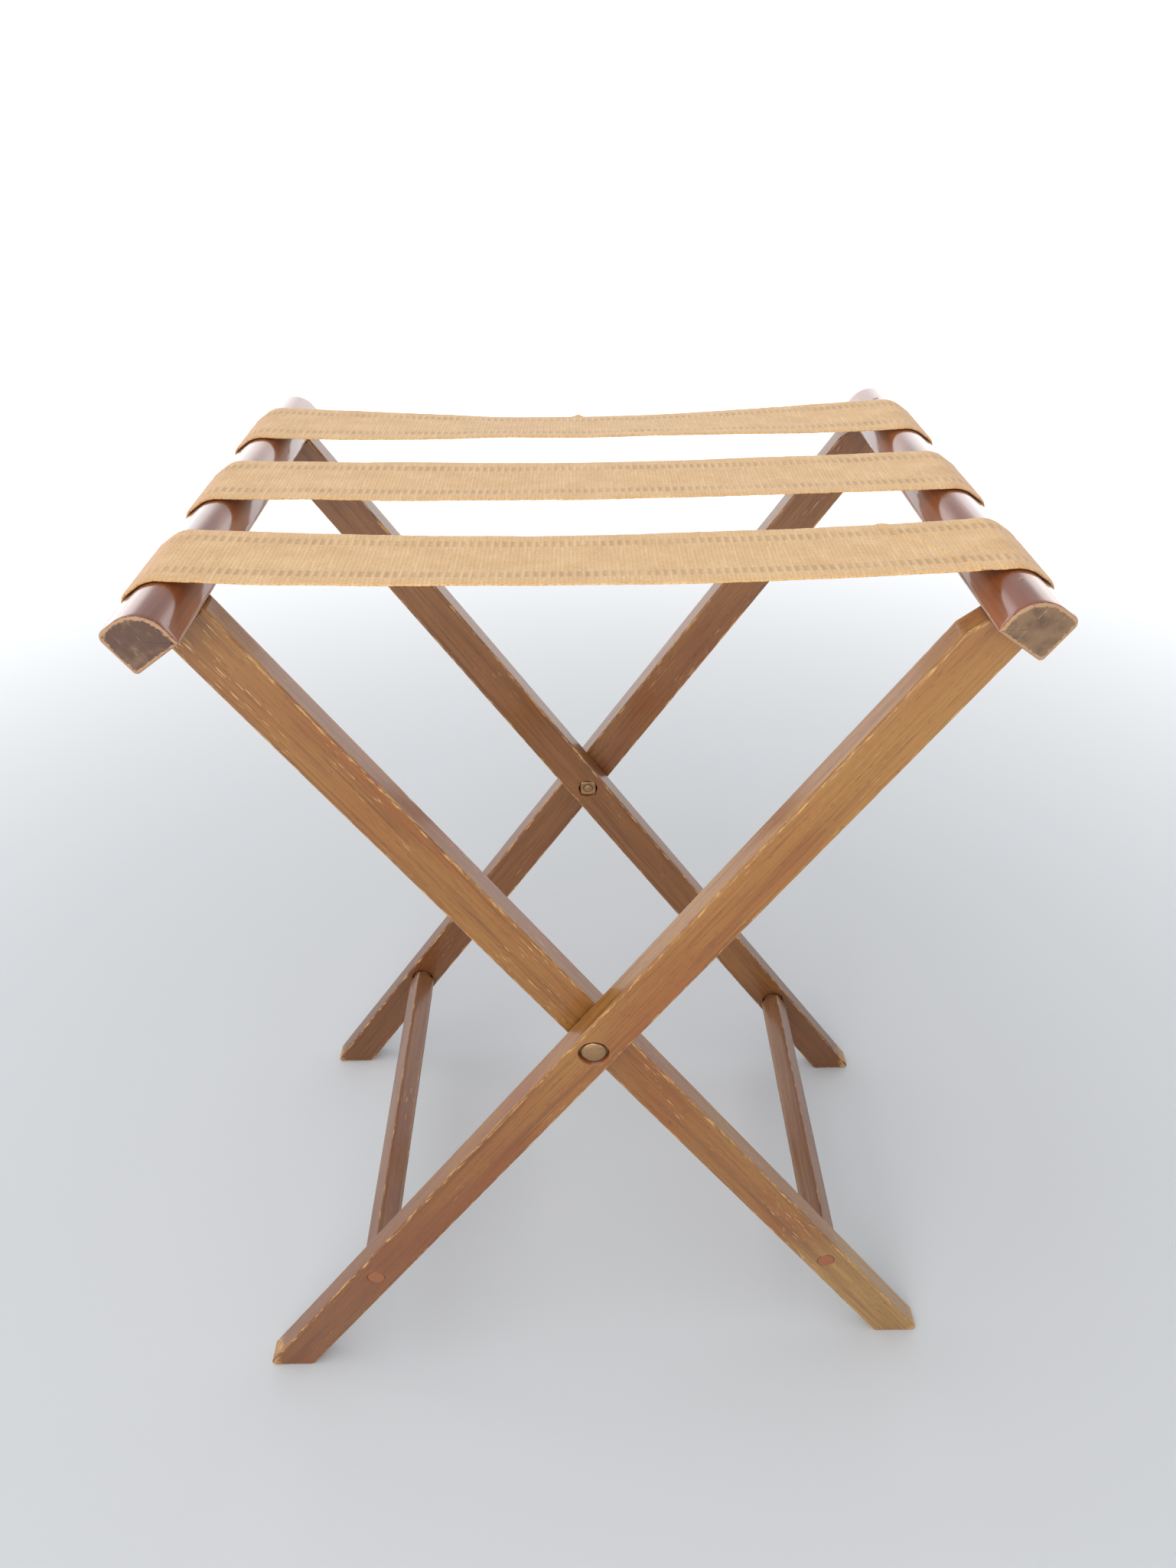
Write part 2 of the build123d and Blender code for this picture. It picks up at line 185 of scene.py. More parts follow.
def rounded_outline(corners, radii, arc_steps, side_steps):
    """Points, outward directions, edge closeness and first column of each side. The corner's arc
    has its centre where both sides, moved in by the radius, meet, and turns from one side's
    outward direction to the next one's."""
    points, outward, worn, starts = [], [], [], []
    corners, radii = np.asarray(corners, float), np.asarray(radii, float)
    sharp = radii < LARGE_ROUND
    ahead = np.roll(corners, -1, axis=0) - corners
    ahead /= np.linalg.norm(ahead, axis=1)[:, None]
    after = np.stack([ahead[:, 1], -ahead[:, 0]], axis=-1)
    before = np.roll(after, 1, axis=0)
    meeting = 1 + np.sum(before * after, axis=1, keepdims=True)
    centres = corners - radii[:, None] * (before + after) / meeting
    for k in range(len(corners)):
        turn = math.acos(float(np.clip(before[k] @ after[k], -1, 1)))
        t = np.linspace(0, 1, arc_steps[k] + 1)[:, None]
        way = before[k] * np.sin((1 - t) * turn) + after[k] * np.sin(t * turn)
        way /= math.sin(turn)
        points.append(centres[k] + radii[k] * way)
        outward.append(way)
        worn.append(np.full(len(t), float(sharp[k])))
        starts.append(sum(len(p) for p in points) - 1)
        following = (k + 1) % len(corners)
        begin, end = points[-1][-1], centres[following] + radii[following] * before[following]
        t = np.linspace(0, 1, side_steps[k] + 1)[1:-1, None]
        points.append(begin + (end - begin) * t)
        outward.append(np.repeat(after[k][None], len(t), axis=0))
        away = np.minimum(np.where(sharp[k], t, 1), np.where(sharp[following], 1 - t, 1))
        worn.append(1 - ease(away[:, 0] * np.linalg.norm(end - begin), 0, WEAR_REACH))
    return np.concatenate(points), np.concatenate(outward), np.concatenate(worn), starts


# %% Outline of a leg
FACE_COLUMNS, EDGE_COLUMNS, CORNER_COLUMNS = 24, 12, 4
leg_outline, leg_outward, leg_worn, leg_starts = rounded_outline(
    [(-HALF, -LEG_THICKNESS / 2), (HALF, -LEG_THICKNESS / 2),
     (HALF, LEG_THICKNESS / 2), (-HALF, LEG_THICKNESS / 2)],
    [EDGE_ROUND] * 4, [CORNER_COLUMNS] * 4, [FACE_COLUMNS, EDGE_COLUMNS] * 2)
print("points round a leg:", len(leg_outline))

# %% [markdown]
# A leg is cut level at the floor, with a rounded toe and heel.
# Instead of slicing the finished bar, each line along the bar starts at its own height: on the
# floor's slanted cut in the middle, on the toe's arc at one side and on the heel's at the other.

# %% Where each line of a leg starts
TOE_ROUND, HEEL_ROUND, FOOT_ROUND = 2.6, 5.0, 1.2


def corner_rise(interior_angle, radius):
    """How far a corner's arc starts from the corner: radius / tan(half the angle)."""
    return radius / math.tan(interior_angle / 2)


def foot_start(n):
    """Lowest s of a leg at distance n from its centre line. The floor is at -(bolt height +
    n sin lean) / cos lean; near each side the lower half of a circle takes its place."""
    floor = -(PIVOT_Z + n * SIN) / COS
    toe_angle = math.pi / 2 - LEAN
    toe_middle = HALF - TOE_ROUND
    toe_height = -(PIVOT_Z + HALF * SIN) / COS + corner_rise(toe_angle, TOE_ROUND)
    toe = toe_height - np.sqrt(np.clip(TOE_ROUND**2 - (n - toe_middle) ** 2, 0, None))
    heel_middle = HEEL_ROUND - HALF
    heel_height = -(PIVOT_Z - HALF * SIN) / COS + corner_rise(math.pi - toe_angle, HEEL_ROUND)
    heel = heel_height - np.sqrt(np.clip(HEEL_ROUND**2 - (n - heel_middle) ** 2, 0, None))
    start = np.where(n > toe_middle - TOE_ROUND * SIN, toe, floor)
    return np.where(n < heel_middle - HEEL_ROUND * SIN, heel, start)


# %% [markdown]
# Bolts, nuts and round tenons sit in holes bored in the legs.
# A hole is punched through a window of the grid: the window's faces are left out, and rings of new
# points lead from its border to the rim, down the wall and across the bottom. A ring can be any
# outline seen from its centre, so the nut's hole, a circle with a square bitten into it, is made in
# the same way as the bolt's.

# %% Holes
RIM_SOFT = 0.25


def window(rows, columns, row_span, column_span):
    """Vertex numbers round a window of the grid, and which of the grid's quads lie in it."""
    (top, bottom), (left, right) = row_span, column_span
    numbers = np.arange(rows * columns).reshape(rows, columns)
    loop = np.concatenate([numbers[top, left:right], numbers[top:bottom, right],
                           numbers[bottom, right:left:-1], numbers[bottom:top:-1, left]])
    inside = np.zeros((rows - 1, columns), bool)
    inside[top:bottom, left:right] = True
    return loop, inside


def circle(radius):
    """The same distance in every direction."""
    return lambda angle: np.full_like(angle, radius)


def nut_hole(radius, half_side, turn):
    """The larger of a circle and a square, where a square's edge is half_side / max(|cos|, |sin|)
    from its centre."""
    def outline(angle):
        square = half_side / np.maximum(np.abs(np.cos(angle + turn)), np.abs(np.sin(angle + turn)))
        return np.maximum(radius, square)
    return outline


def punch(grid_points, loop, centre_s, face_y, inward, outline, depth):
    """Rings for one hole: points (s, n, y) and how far inside each is, 0 on the face, 1 at the
    rim and 2 below it. The first ring is halfway from the window's border to the rim. The last
    point is the middle of the hole's bottom, and is marked 1."""
    border = grid_points[loop]
    angle = np.arctan2(border[:, 1], border[:, 0] - centre_s)
    distance = np.hypot(border[:, 1], border[:, 0] - centre_s)
    rim = outline(angle)
    # The marks past the rim later darken the hole's wall and bottom with painted shade.
    steps = [((distance + rim) / 2, 0.0, 0), (rim + 2 * RIM_SOFT, 0.0, 0),
             (rim + RIM_SOFT, 0.07, 0.3), (rim, RIM_SOFT, 1), (rim, depth, 2),
             (rim * 0.5, depth, 2)]
    rings = [np.stack([centre_s + r * np.cos(angle), r * np.sin(angle),
                       np.full_like(angle, face_y + inward * d)], axis=-1) for r, d, _ in steps]
    marks = [np.full(len(loop), float(mark)) for _, _, mark in steps]
    middle = np.array([[centre_s, 0.0, face_y + inward * depth]])
    return np.concatenate(rings + [middle]), np.concatenate(marks + [np.ones(1)])


# %% [markdown]
# Now a whole leg. It is one skin: the foot's rounded cut, the long bar with its ripples, dents and
# chipped corners, and the top that meets the rail.
# The rows of points aren't spread evenly all the way. They fall exactly on the borders of the
# holes' windows and on the shoulder, so the holes can be punched without moving a point.

# %% Sizes of the holes and the relief
STRETCHER_BELOW = {"outer": 240.5, "inner": 259.5}
TENON_RADIUS, TENON_GAP, TENON_DEPTH = 5.5, 0.06, 3.0
SOCKET_RADIUS, SOCKET_DEPTH = 8.0, 2.0
BOLT_RECESS, NUT_RECESS, NUT_SIDE, NUT_GAP = (8.5, 4.4), (6.8, 5.6), 11.1, 0.15
SHOULDER_DEPTH, SHOULDER_LENGTH = 4.0, 12.0
PIVOT_WINDOW, STRETCHER_WINDOW = 10.9, 10.2
STATION, ROUND_ROWS = 2.0, 5
CHIP_DEPTH, RIPPLE, DENT_DEPTH = 0.14, 0.07, 0.14
FOOT_SHRINK = np.array([0.2, 0.45, 0.65, 0.8, 0.9, 0.97])[:, None]
TOP_SHRINK = np.array([[0.6], [0.2]])
CAP_ROWS, TOP_ROWS = len(FOOT_SHRINK), len(TOP_SHRINK)


def wood_relief(s, n, y, worn, seed):
    """How far the surface stands proud: a slow ripple along the bar, minus chips where a short
    random height passes a limit near a corner, minus a few round dents. Cells are in mm."""
    ripple = RIPPLE * (soft_noise(s, n + y, 28, 19, seed) - 0.5)
    chips = ease(soft_noise(s, n * 0.4 + y * 0.7, 5.5, 6, seed + 1), 0.68, 0.95)
    chips *= ease(soft_noise(s, n + 2 * y, 60, 40, seed + 2), 0.3, 0.6) * worn
    dents = ease(soft_noise(s, n + 3 * y, 9, 5, seed + 3), 0.9, 1.0)
    return ripple - CHIP_DEPTH * chips - DENT_DEPTH * dents, chips


def quarter_round(radius):
    """How far the rows of a rounded end lie inwards and how far from the end, as columns: radius
    x (1 - cos) and radius x (1 - sin) of a quarter turn."""
    turn = np.linspace(math.pi / 2, 0, ROUND_ROWS)[:, None]
    return radius * (1 - np.cos(turn)), radius * (1 - np.sin(turn))


# %% Rows of a leg
def leg_rows(knots):
    """s, n and y of a plain leg's grid, each line's own start, and the row of each knot. Between
    the foot and the first knot a row's s runs evenly from that line's start; between two knots
    the rows are about 2 mm apart."""
    across, thick = leg_outline[:, 0], leg_outline[:, 1]
    spans = [np.linspace(a, b, max(2, round((b - a) / STATION)), endpoint=False)
             for a, b in zip(knots, knots[1:])]
    stations = np.concatenate(spans + [[RAIL_LOW]])
    inset, rise = quarter_round(FOOT_ROUND)
    start = foot_start(across)
    foot_n = np.concatenate([(across - leg_outward[:, 0] * FOOT_ROUND) * FOOT_SHRINK,
                             across - leg_outward[:, 0] * inset])
    foot_rise = np.concatenate([np.zeros((CAP_ROWS, 1)), rise])
    foot_steps = round((knots[0] + PIVOT_Z / COS) / STATION)
    t = np.linspace(0, 1, foot_steps + 1)[1:-1, None]
    s_rows = np.concatenate([
        foot_start(foot_n) + foot_rise,
        start + FOOT_ROUND + (knots[0] - start - FOOT_ROUND) * t,
        np.repeat(stations[:, None], len(across), axis=1),
        np.full((TOP_ROWS, len(across)), RAIL_LOW)])
    rows = len(s_rows)
    narrow = np.concatenate([FOOT_SHRINK, np.ones((rows - CAP_ROWS - TOP_ROWS, 1)), TOP_SHRINK])
    pull = np.concatenate([np.full((CAP_ROWS, 1), FOOT_ROUND), inset,
                           np.zeros((rows - CAP_ROWS - ROUND_ROWS, 1))])
    n_rows = (across - leg_outward[:, 0] * pull) * narrow
    y_rows = (thick - leg_outward[:, 1] * pull) * narrow
    knot_rows = CAP_ROWS + ROUND_ROWS + len(t) + np.cumsum([0] + [len(part) for part in spans])
    return s_rows, n_rows, y_rows, start, knot_rows


# %% Skin of a leg with its holes
def leg_holes(frame_name, out, knot_rows):
    """Face, rows, s, outline and depth of each hole: the bolt's or the nut's recess, the tenon's
    hole in the outer face and the neck's socket in the inner one."""
    stretcher = -STRETCHER_BELOW[frame_name]
    if frame_name == "outer":
        pivot = (out, knot_rows[2:4], 0.0, circle(BOLT_RECESS[0]), BOLT_RECESS[1])
    else:
        nut = nut_hole(NUT_RECESS[0], NUT_SIDE / 2 + NUT_GAP, -LEAN)
        pivot = (-out, knot_rows[2:4], 0.0, nut, NUT_RECESS[1])
    return [pivot,
            (out, knot_rows[:2], stretcher, circle(TENON_RADIUS + TENON_GAP), TENON_DEPTH),
            (-out, knot_rows[:2], stretcher, circle(SOCKET_RADIUS), SOCKET_DEPTH)]


def bored_skin(grid_points, cut, middle_y, holes):
    """Points, quads, triangles and cut marks: the grid without its windows, each hole's rings and
    bottom, and a fan at each end."""
    rows, columns = cut.shape
    keep = np.ones((rows - 1, columns), bool)
    points, marks, quads, fans = [grid_points], [cut.ravel()], [], []
    used = len(grid_points)
    for toward, row_span, centre_s, outline, depth in holes:
        first = leg_starts[0 if toward < 0 else 2]
        loop, inside = window(rows, columns, row_span, (first, first + FACE_COLUMNS))
        keep &= ~inside
        rings, inner = punch(grid_points, loop, centre_s, middle_y + toward * LEG_THICKNESS / 2,
                             -toward, outline, depth)
        numbers = used + np.arange(len(rings) - 1).reshape(-1, len(loop))
        stack = np.concatenate([loop[None], numbers])
        quads.append(quads_between(stack[:-1].T, stack[1:].T).reshape(-1, 4))
        fans.append(fan(numbers[-1], used + len(rings) - 1))
        points.append(rings)
        marks.append(inner)
        used += len(rings)
    points.append(np.array([grid_points[:columns].mean(0), grid_points[-columns:].mean(0)]))
    marks.append(np.ones(2))
    loop = np.arange(columns)
    fans += [fan(loop[::-1], used), fan(loop + (rows - 1) * columns, used + 1)]
    skin = tube_faces(rows, columns).reshape(columns, rows - 1, 4).transpose(1, 0, 2)[keep]
    return (np.concatenate(points), np.concatenate([skin] + quads), np.concatenate(fans),
            np.concatenate(marks))


# %% [markdown]
# The foot is scuffed where it drags over the floor. The scuff reaches 3 mm up the heel and more
# up the toe, and most of all on the front leg of the outer frame and the back leg of the inner.
# The outer frame's legs also have their upper inner corner cut back, so that the inner frame's
# rail can pass when the rack folds.

# %% Legs
SCUFF_HEEL, SCUFF_TOE, SCUFF_LONG_TOE, SCUFF_WORN = 3, 9, 26, 1.1
TOE_BAND = (HALF - 8, HALF - 0.5)


def leg(frame_name, end):
    """A leg's skin: plain rows, then wear that eases off over the scuff's height, then relief
    along each point's outward direction, then the shoulder and the holes."""
    side, out = SIDE[frame_name], ENDS[end]
    low, high = (corner[1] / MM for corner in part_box(f"{frame_name}_leg_{end}"))
    middle_y = (low + high) / 2
    stretcher = -STRETCHER_BELOW[frame_name]
    s_rows, n_rows, y_rows, start, knot_rows = leg_rows(
        [stretcher - STRETCHER_WINDOW, stretcher + STRETCHER_WINDOW,
         -PIVOT_WINDOW, PIVOT_WINDOW, RAIL_LOW - SHOULDER_LENGTH, RAIL_LOW])
    worn = np.tile(leg_worn, (len(s_rows), 1))
    toe = SCUFF_LONG_TOE if out * side < 0 else SCUFF_TOE
    scuff = SCUFF_HEEL + toe * ease(leg_outline[:, 0], *TOE_BAND)
    foot = slice(0, knot_rows[0])
    worn[foot] = np.maximum(worn[foot], SCUFF_WORN - SCUFF_WORN * ease(
        (s_rows[foot] - start) / scuff, 0.2, 1.5))
    cut = np.zeros(s_rows.shape)
    cut[:CAP_ROWS + 2], cut[-TOP_ROWS:] = 1, 1
    relief, chips = wood_relief(s_rows, n_rows, y_rows, worn, 10 * (side + 2) + out)
    relief[:CAP_ROWS + ROUND_ROWS], relief[-TOP_ROWS - 1:] = 0, 0
    n_rows = n_rows + leg_outward[:, 0] * relief
    y_rows = y_rows + leg_outward[:, 1] * relief
    if frame_name == "outer":
        up = np.clip((s_rows - RAIL_LOW + SHOULDER_LENGTH) / SHOULDER_LENGTH, 0, 1)
        n_rows = -HALF + (n_rows + HALF) * (1 - SHOULDER_DEPTH * up / LEG_WIDTH)
    grid_points = np.stack([s_rows, n_rows, middle_y + y_rows], axis=-1).reshape(-1, 3)
    points, quads, fans, marks = bored_skin(grid_points, cut, middle_y,
                                            leg_holes(frame_name, out, knot_rows))
    unworn = np.zeros(len(points) - worn.size)
    piece = new_piece(
        f"{frame_name}_leg_{end}_wood", place(side, points[:, 0], points[:, 1], points[:, 2]),
        quads, fans, cut=marks, worn=np.concatenate([np.maximum(worn, chips).ravel(), unworn]))
    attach(piece, f"{frame_name}_frame")
    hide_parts(f"{frame_name}_leg_{end}")
    return piece


legs = {(f, e): leg(f, e) for f in SIDE for e in ENDS}

# %% [markdown]
# A top rail is a square bar whose upper inner corner is turned to a large round, so that the
# webbing bends over it gently. Its ends stand proud of the legs and show the saw's end grain.

# %% Closed tubes
def capped(loops):
    """Points, quads and triangles of stacked loops, shape (rows, columns, 3), with a fan at each
    end to the mean point of the end loop."""
    count, columns = loops.shape[:2]
    points = np.concatenate([loops.reshape(-1, 3), loops[:1].mean(1), loops[-1:].mean(1)])
    loop = np.arange(columns)
    fans = np.concatenate([fan(loop[::-1], count * columns),
                           fan(loop + (count - 1) * columns, count * columns + 1)])
    return points, tube_faces(count, columns), fans


def with_ends(marks):
    """Marks of the loops' points, plus the end loops' first ones for the two middle points."""
    return {key: np.concatenate([values.ravel(), values[:1, 0], values[-1:, 0]])
            for key, values in marks.items()}


def tube(name, loops, **marks):
    """Closed skin from stacked loops."""
    return new_piece(name, *capped(loops), **with_ends(marks))


# %% Rails
RAIL_RADII = [2.0, 0.7, DOME_RADIUS, 4.0]
RAIL_END_ROUND, RAIL_MIDDLE, RAIL_CALM, SAW_DEPTH = 1.0, 0.46, 0.45, 0.12
RAIL_END_WORN, RAIL_SEED, SAW_SEED = 1.3, 50, 60
RAIL_SHRINK = np.array([0.15, 0.35, 0.55, 0.75, 0.92])[:, None]
rail_outline, rail_outward, rail_worn, _ = rounded_outline(
    [(-HALF, RAIL_LOW), (HALF, RAIL_LOW), (HALF, RAIL_HIGH), (-HALF, RAIL_HIGH)],
    RAIL_RADII, [5, 3, 26, 8], [16, 8, 6, 14])


def rail(frame_name):
    """The outline carried along y. At each end it moves inwards on a quarter circle, then shrinks
    towards its middle over the sawn face, which the saw left a little uneven."""
    side = SIDE[frame_name]
    low, high = (corner[1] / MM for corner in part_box(f"{frame_name}_top_rail"))
    end_inset, end_y = quarter_round(RAIL_END_ROUND)
    body_y = np.linspace(low + RAIL_END_ROUND, high - RAIL_END_ROUND,
                         round((high - low) / STATION))[1:-1, None]
    flat = np.ones_like(RAIL_SHRINK)
    y = np.concatenate([flat * low, low + end_y, body_y, (high - end_y)[::-1], flat * high])
    inset = np.concatenate([flat * RAIL_END_ROUND, end_inset, np.zeros_like(body_y),
                            end_inset[::-1], flat * RAIL_END_ROUND])
    narrow = np.concatenate([RAIL_SHRINK, np.ones((len(y) - 2 * len(flat), 1)),
                             RAIL_SHRINK[::-1]])
    middle = RAIL_LOW + RAIL_HEIGHT * RAIL_MIDDLE
    n_rows = (rail_outline[:, 0] - rail_outward[:, 0] * inset) * narrow
    s_rows = middle + (rail_outline[:, 1] - rail_outward[:, 1] * inset - middle) * narrow
    worn = np.tile(rail_worn, (len(y), 1))
    to_end = np.minimum(y - low, high - y)
    end_worn = RAIL_END_WORN - RAIL_END_WORN * ease(to_end, 0.1, 1.2)
    worn = np.maximum(worn, end_worn) * ease(narrow, 0.8, 1)
    relief, _ = wood_relief(y, n_rows, s_rows, worn, RAIL_SEED + side)
    calm = RAIL_CALM * ease(to_end, 1, 6)
    n_rows = n_rows + rail_outward[:, 0] * relief * calm
    s_rows = s_rows + rail_outward[:, 1] * relief * calm
    on_face = (narrow < 1) * np.ones(len(rail_outline))
    saw = SAW_DEPTH * (soft_noise(n_rows, s_rows, 1.6, 7, SAW_SEED + side) - 0.5) * on_face
    y_rows = y + saw * np.sign(y)
    piece = tube(f"{frame_name}_rail_wood", place(side, s_rows, n_rows, y_rows),
                 worn=worn, cut=np.maximum(on_face, ease(inset, 0.55, 1.0)))
    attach(piece, f"{frame_name}_frame")
    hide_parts(f"{frame_name}_top_rail")
    return piece


rails = {f: rail(f) for f in SIDE}

# %% [markdown]
# A stretcher is a square bar whose ends are turned down in a lathe: first to a round neck that
# enters a shallow socket, then to a tenon that shows as a disc on the leg's outer face.
# Its outline slides from a square to a circle, and both are given by the same directions.

# %% Stretchers
STRETCHER_HALF, NECK_RADIUS, STRETCHER_COLUMNS = 7.5, 7.2, 64
SHOULDER, NECK_LENGTH, TENON_EASE = 3.5, 1.9, 0.1
STRETCHER_STATION, STRETCHER_CALM, STRETCHER_SEED = 2.2, 0.8, 70


def square_reach(angle, half, round_power=14):
    """Distance to a square's rounded edge: half / (|cos|^p + |sin|^p)^(1/p), sharper as the power
    grows."""
    powered = np.abs(np.cos(angle)) ** round_power + np.abs(np.sin(angle)) ** round_power
    return half / powered ** (1 / round_power)


def stretcher(frame_name):
    """Loops along y: reach = square x (1 - w) + circle x w, with w easing to 1 at the shoulders.
    Half the bar is worked out from the middle and then mirrored to the other end."""
    side = SIDE[frame_name]
    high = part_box(f"{frame_name}_stretcher")[1][1] / MM
    inside = high - LEG_THICKNESS
    angle = np.linspace(0, 2 * math.pi, STRETCHER_COLUMNS, endpoint=False) + math.pi / 4
    square_end = inside - SHOULDER
    body = np.linspace(0, square_end, round(square_end / STRETCHER_STATION))
    y = np.concatenate([body, square_end + SHOULDER * np.linspace(0.12, 1, 9),
                        inside + np.array([NECK_LENGTH, NECK_LENGTH]),
                        high - np.array([0.45, 0.13, 0, 0, 0])])
    w = ease(y, square_end, inside - 0.6 * SHOULDER)
    ring = np.full_like(y, NECK_RADIUS)
    ring[-6:] = TENON_RADIUS - np.array([TENON_EASE, TENON_EASE, 0.25, 0.6, 2.2, 4.0])
    y, w, ring = (np.concatenate([k[:0:-1] * flip, k]) for k, flip in ((y, -1), (w, 1), (ring, 1)))
    reach_out = square_reach(angle, STRETCHER_HALF) * (1 - w[:, None]) + ring[:, None] * w[:, None]
    way = np.stack([np.cos(angle), np.sin(angle)])
    corner = ease(square_reach(angle, 1), 1.2, 1.34) * (1 - w[:, None])
    relief, chips = wood_relief(y[:, None], 7 * way[0], 7 * way[1], corner,
                                STRETCHER_SEED + side)
    reach_out = reach_out + relief * (1 - w[:, None]) * STRETCHER_CALM
    s = -STRETCHER_BELOW[frame_name] + reach_out * way[0]
    n = reach_out * way[1]
    at_end = (np.abs(y) > high - 0.4)[:, None] * np.ones(STRETCHER_COLUMNS)
    piece = tube(f"{frame_name}_stretcher_wood", place(side, s, n, y[:, None]),
                 worn=np.maximum(corner, chips), cut=at_end)
    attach(piece, f"{frame_name}_frame")
    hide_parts(f"{frame_name}_stretcher")
    return piece


stretchers = {f: stretcher(f) for f in SIDE}

# %% [markdown]
# Bolts, washers, tacks and nails are turned or stamped round, so each is a profile spun about
# its axis. A nut is the same, except that its outside goes round a square.
# Hidden shanks are kept, because a bolt without one wouldn't be a bolt.

# %% Spinning a profile
def spin(profile, columns, reach_of=None):
    """Loops (rows, columns, 3) about the y axis from (radius, y) pairs. Where reach_of is given,
    a ring's points are at radius x reach_of(direction) instead."""
    angle = np.linspace(0, 2 * math.pi, columns, endpoint=False)
    shape = np.ones_like(angle) if reach_of is None else reach_of(angle)
    radius, y = np.asarray(profile, float).T[:, :, None]
    return np.stack([radius * shape * np.cos(angle), y + 0 * angle,
                     radius * shape * np.sin(angle)], axis=-1)


def cap_profile(radius, height, base_y, steps=8):
    """A dome's profile from rim to top: a circle's arc through the rim and the top."""
    ball = (radius**2 + height**2) / (2 * height)
    t = np.linspace(0, 0.96, steps) ** 0.8
    r = radius * (1 - t)
    return [(a, base_y + math.sqrt(ball**2 - a**2) - ball + height) for a in r]


# %% Fittings at the pivots
BOLT_RADIUS, HEAD_RADIUS, HEAD_HEIGHT, HEAD_RIM, CAP_LOW = 3.175, 6.8, 3.0, 1.7, 2.0
BORE_GAP, NUT_BEVEL, WASHER_BEVEL = 0.03, 0.5, 0.2
WASHER_RADII = {"head_washer": 8.2, "spacer_washer": 9.0}
at_pivot = np.array([0, 0, PIVOT_Z])


def hardware(name, loops, end, node):
    """Pivot piece from loops whose y counts outwards from the rack's middle."""
    loops = (loops * [1, ENDS[end], 1] + at_pivot) * MM
    piece = tube(name, loops)
    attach(piece, "inner_frame")
    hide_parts(node)
    return piece


def ring_loops(inner_radius, outer_radius, low, high, bevel, columns=48, reach_of=None):
    """A washer or nut as one closed band: up the outside, in across the top, down the bore and
    out again, so that the last loop meets the first."""
    outside = spin([(outer_radius - bevel, low), (outer_radius, low + bevel),
                    (outer_radius, (low + high) / 2), (outer_radius, high - bevel),
                    (outer_radius - bevel, high)], columns, reach_of)
    middle = spin([((inner_radius + outer_radius) / 2, high)], columns)
    bore = spin([(inner_radius + bevel, high), (inner_radius, high - bevel),
                 (inner_radius, low + bevel), (inner_radius + bevel, low)], columns)
    return np.concatenate([outside, middle, bore])


def band(name, loops, end, node):
    """Closed band of loops, whose last loop joins its first, at the pivot."""
    rows, columns = loops.shape[:2]
    numbers = np.arange(rows * columns).reshape(rows, columns)
    quads = quads_between(numbers.T, np.roll(numbers, -1, 0).T).reshape(-1, 4)
    points = ((loops * [1, ENDS[end], 1] + at_pivot) * MM).reshape(-1, 3)
    piece = new_piece(name, points, quads, np.zeros((0, 3), int))
    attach(piece, "inner_frame")
    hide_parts(node)
    return piece


# %% Bolts, nuts and washers
def outward_span(node):
    """Nearest and farthest distance of a CAD node from the rack's middle plane, in mm."""
    return sorted(abs(corner[1]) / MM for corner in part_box(node))


fittings = []
for end in ENDS:
    tip, top = outward_span(f"pivot_bolt_{end}")
    seat = top - HEAD_HEIGHT
    bolt_profile = [(1.2, tip), (BOLT_RADIUS - 0.5, tip + 0.15), (BOLT_RADIUS, tip + 0.7),
                    (BOLT_RADIUS, seat), (HEAD_RADIUS - 0.3, seat), (HEAD_RADIUS, seat + 0.35),
                    (HEAD_RADIUS, seat + HEAD_RIM)]
    bolt_profile += cap_profile(HEAD_RADIUS - 0.15, HEAD_HEIGHT - CAP_LOW, seat + CAP_LOW, 12)
    fittings.append(hardware(f"pivot_bolt_{end}_steel", spin(bolt_profile, 64), end,
                             f"pivot_bolt_{end}"))
    low, high = outward_span(f"square_nut_{end}")
    nut_loops = ring_loops(BOLT_RADIUS + BORE_GAP, NUT_SIDE / 2, low, high, NUT_BEVEL, 64,
                           lambda angle: square_reach(angle, 1, 18))
    fittings.append(band(f"square_nut_{end}_steel", nut_loops, end, f"square_nut_{end}"))
    for kind, radius in WASHER_RADII.items():
        low, high = outward_span(f"{kind}_{end}")
        washer_loops = ring_loops(BOLT_RADIUS + BORE_GAP, radius, low, high, WASHER_BEVEL)
        fittings.append(band(f"{kind}_{end}_steel", washer_loops, end, f"{kind}_{end}"))
print("fittings:", len(fittings))

# %% [markdown]
# Upholstery tacks hold each strap's hem to the outside of the rail, and a thin nail pins each
# rail to its leg. All the tacks of a rail are one piece, copied with one array sum.

# %% Tacks and nails
TACKS_PER_END, TACK_PITCH, TACK_RADIUS, TACK_HEIGHT = 4, 14.0, 3.4, 1.5
HEM_MIDDLE, HEM_FACE = RAIL_LOW + 10.0, -HALF - 3.6
NAIL_RADIUS, NAIL_LENGTH, DIAGONAL, PIN_COLUMNS = 1.6, 9.0, math.sqrt(0.5), 20


def many(name, loops, origins, axis, body, node):
    """Copies of one spun shape: point = origin + r along two directions across the axis + y along
    it. All copies go into one mesh, their vertex numbers shifted by the copy's number."""
    flat, quads, fans = capped(loops)
    x_way = np.array([0.0, 1.0, 0.0])
    local = flat[:, :1] * x_way * MM + flat[:, 1:2] * axis * MM
    local = local + flat[:, 2:] * np.cross(x_way, axis) * MM
    points = origins[:, None] + local
    shift = np.arange(len(origins))[:, None, None] * len(flat)
    piece = new_piece(name, points.reshape(-1, 3), (quads + shift).reshape(-1, 4),
                      (fans + shift).reshape(-1, 3))
    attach(piece, body)
    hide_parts(node)
    return piece


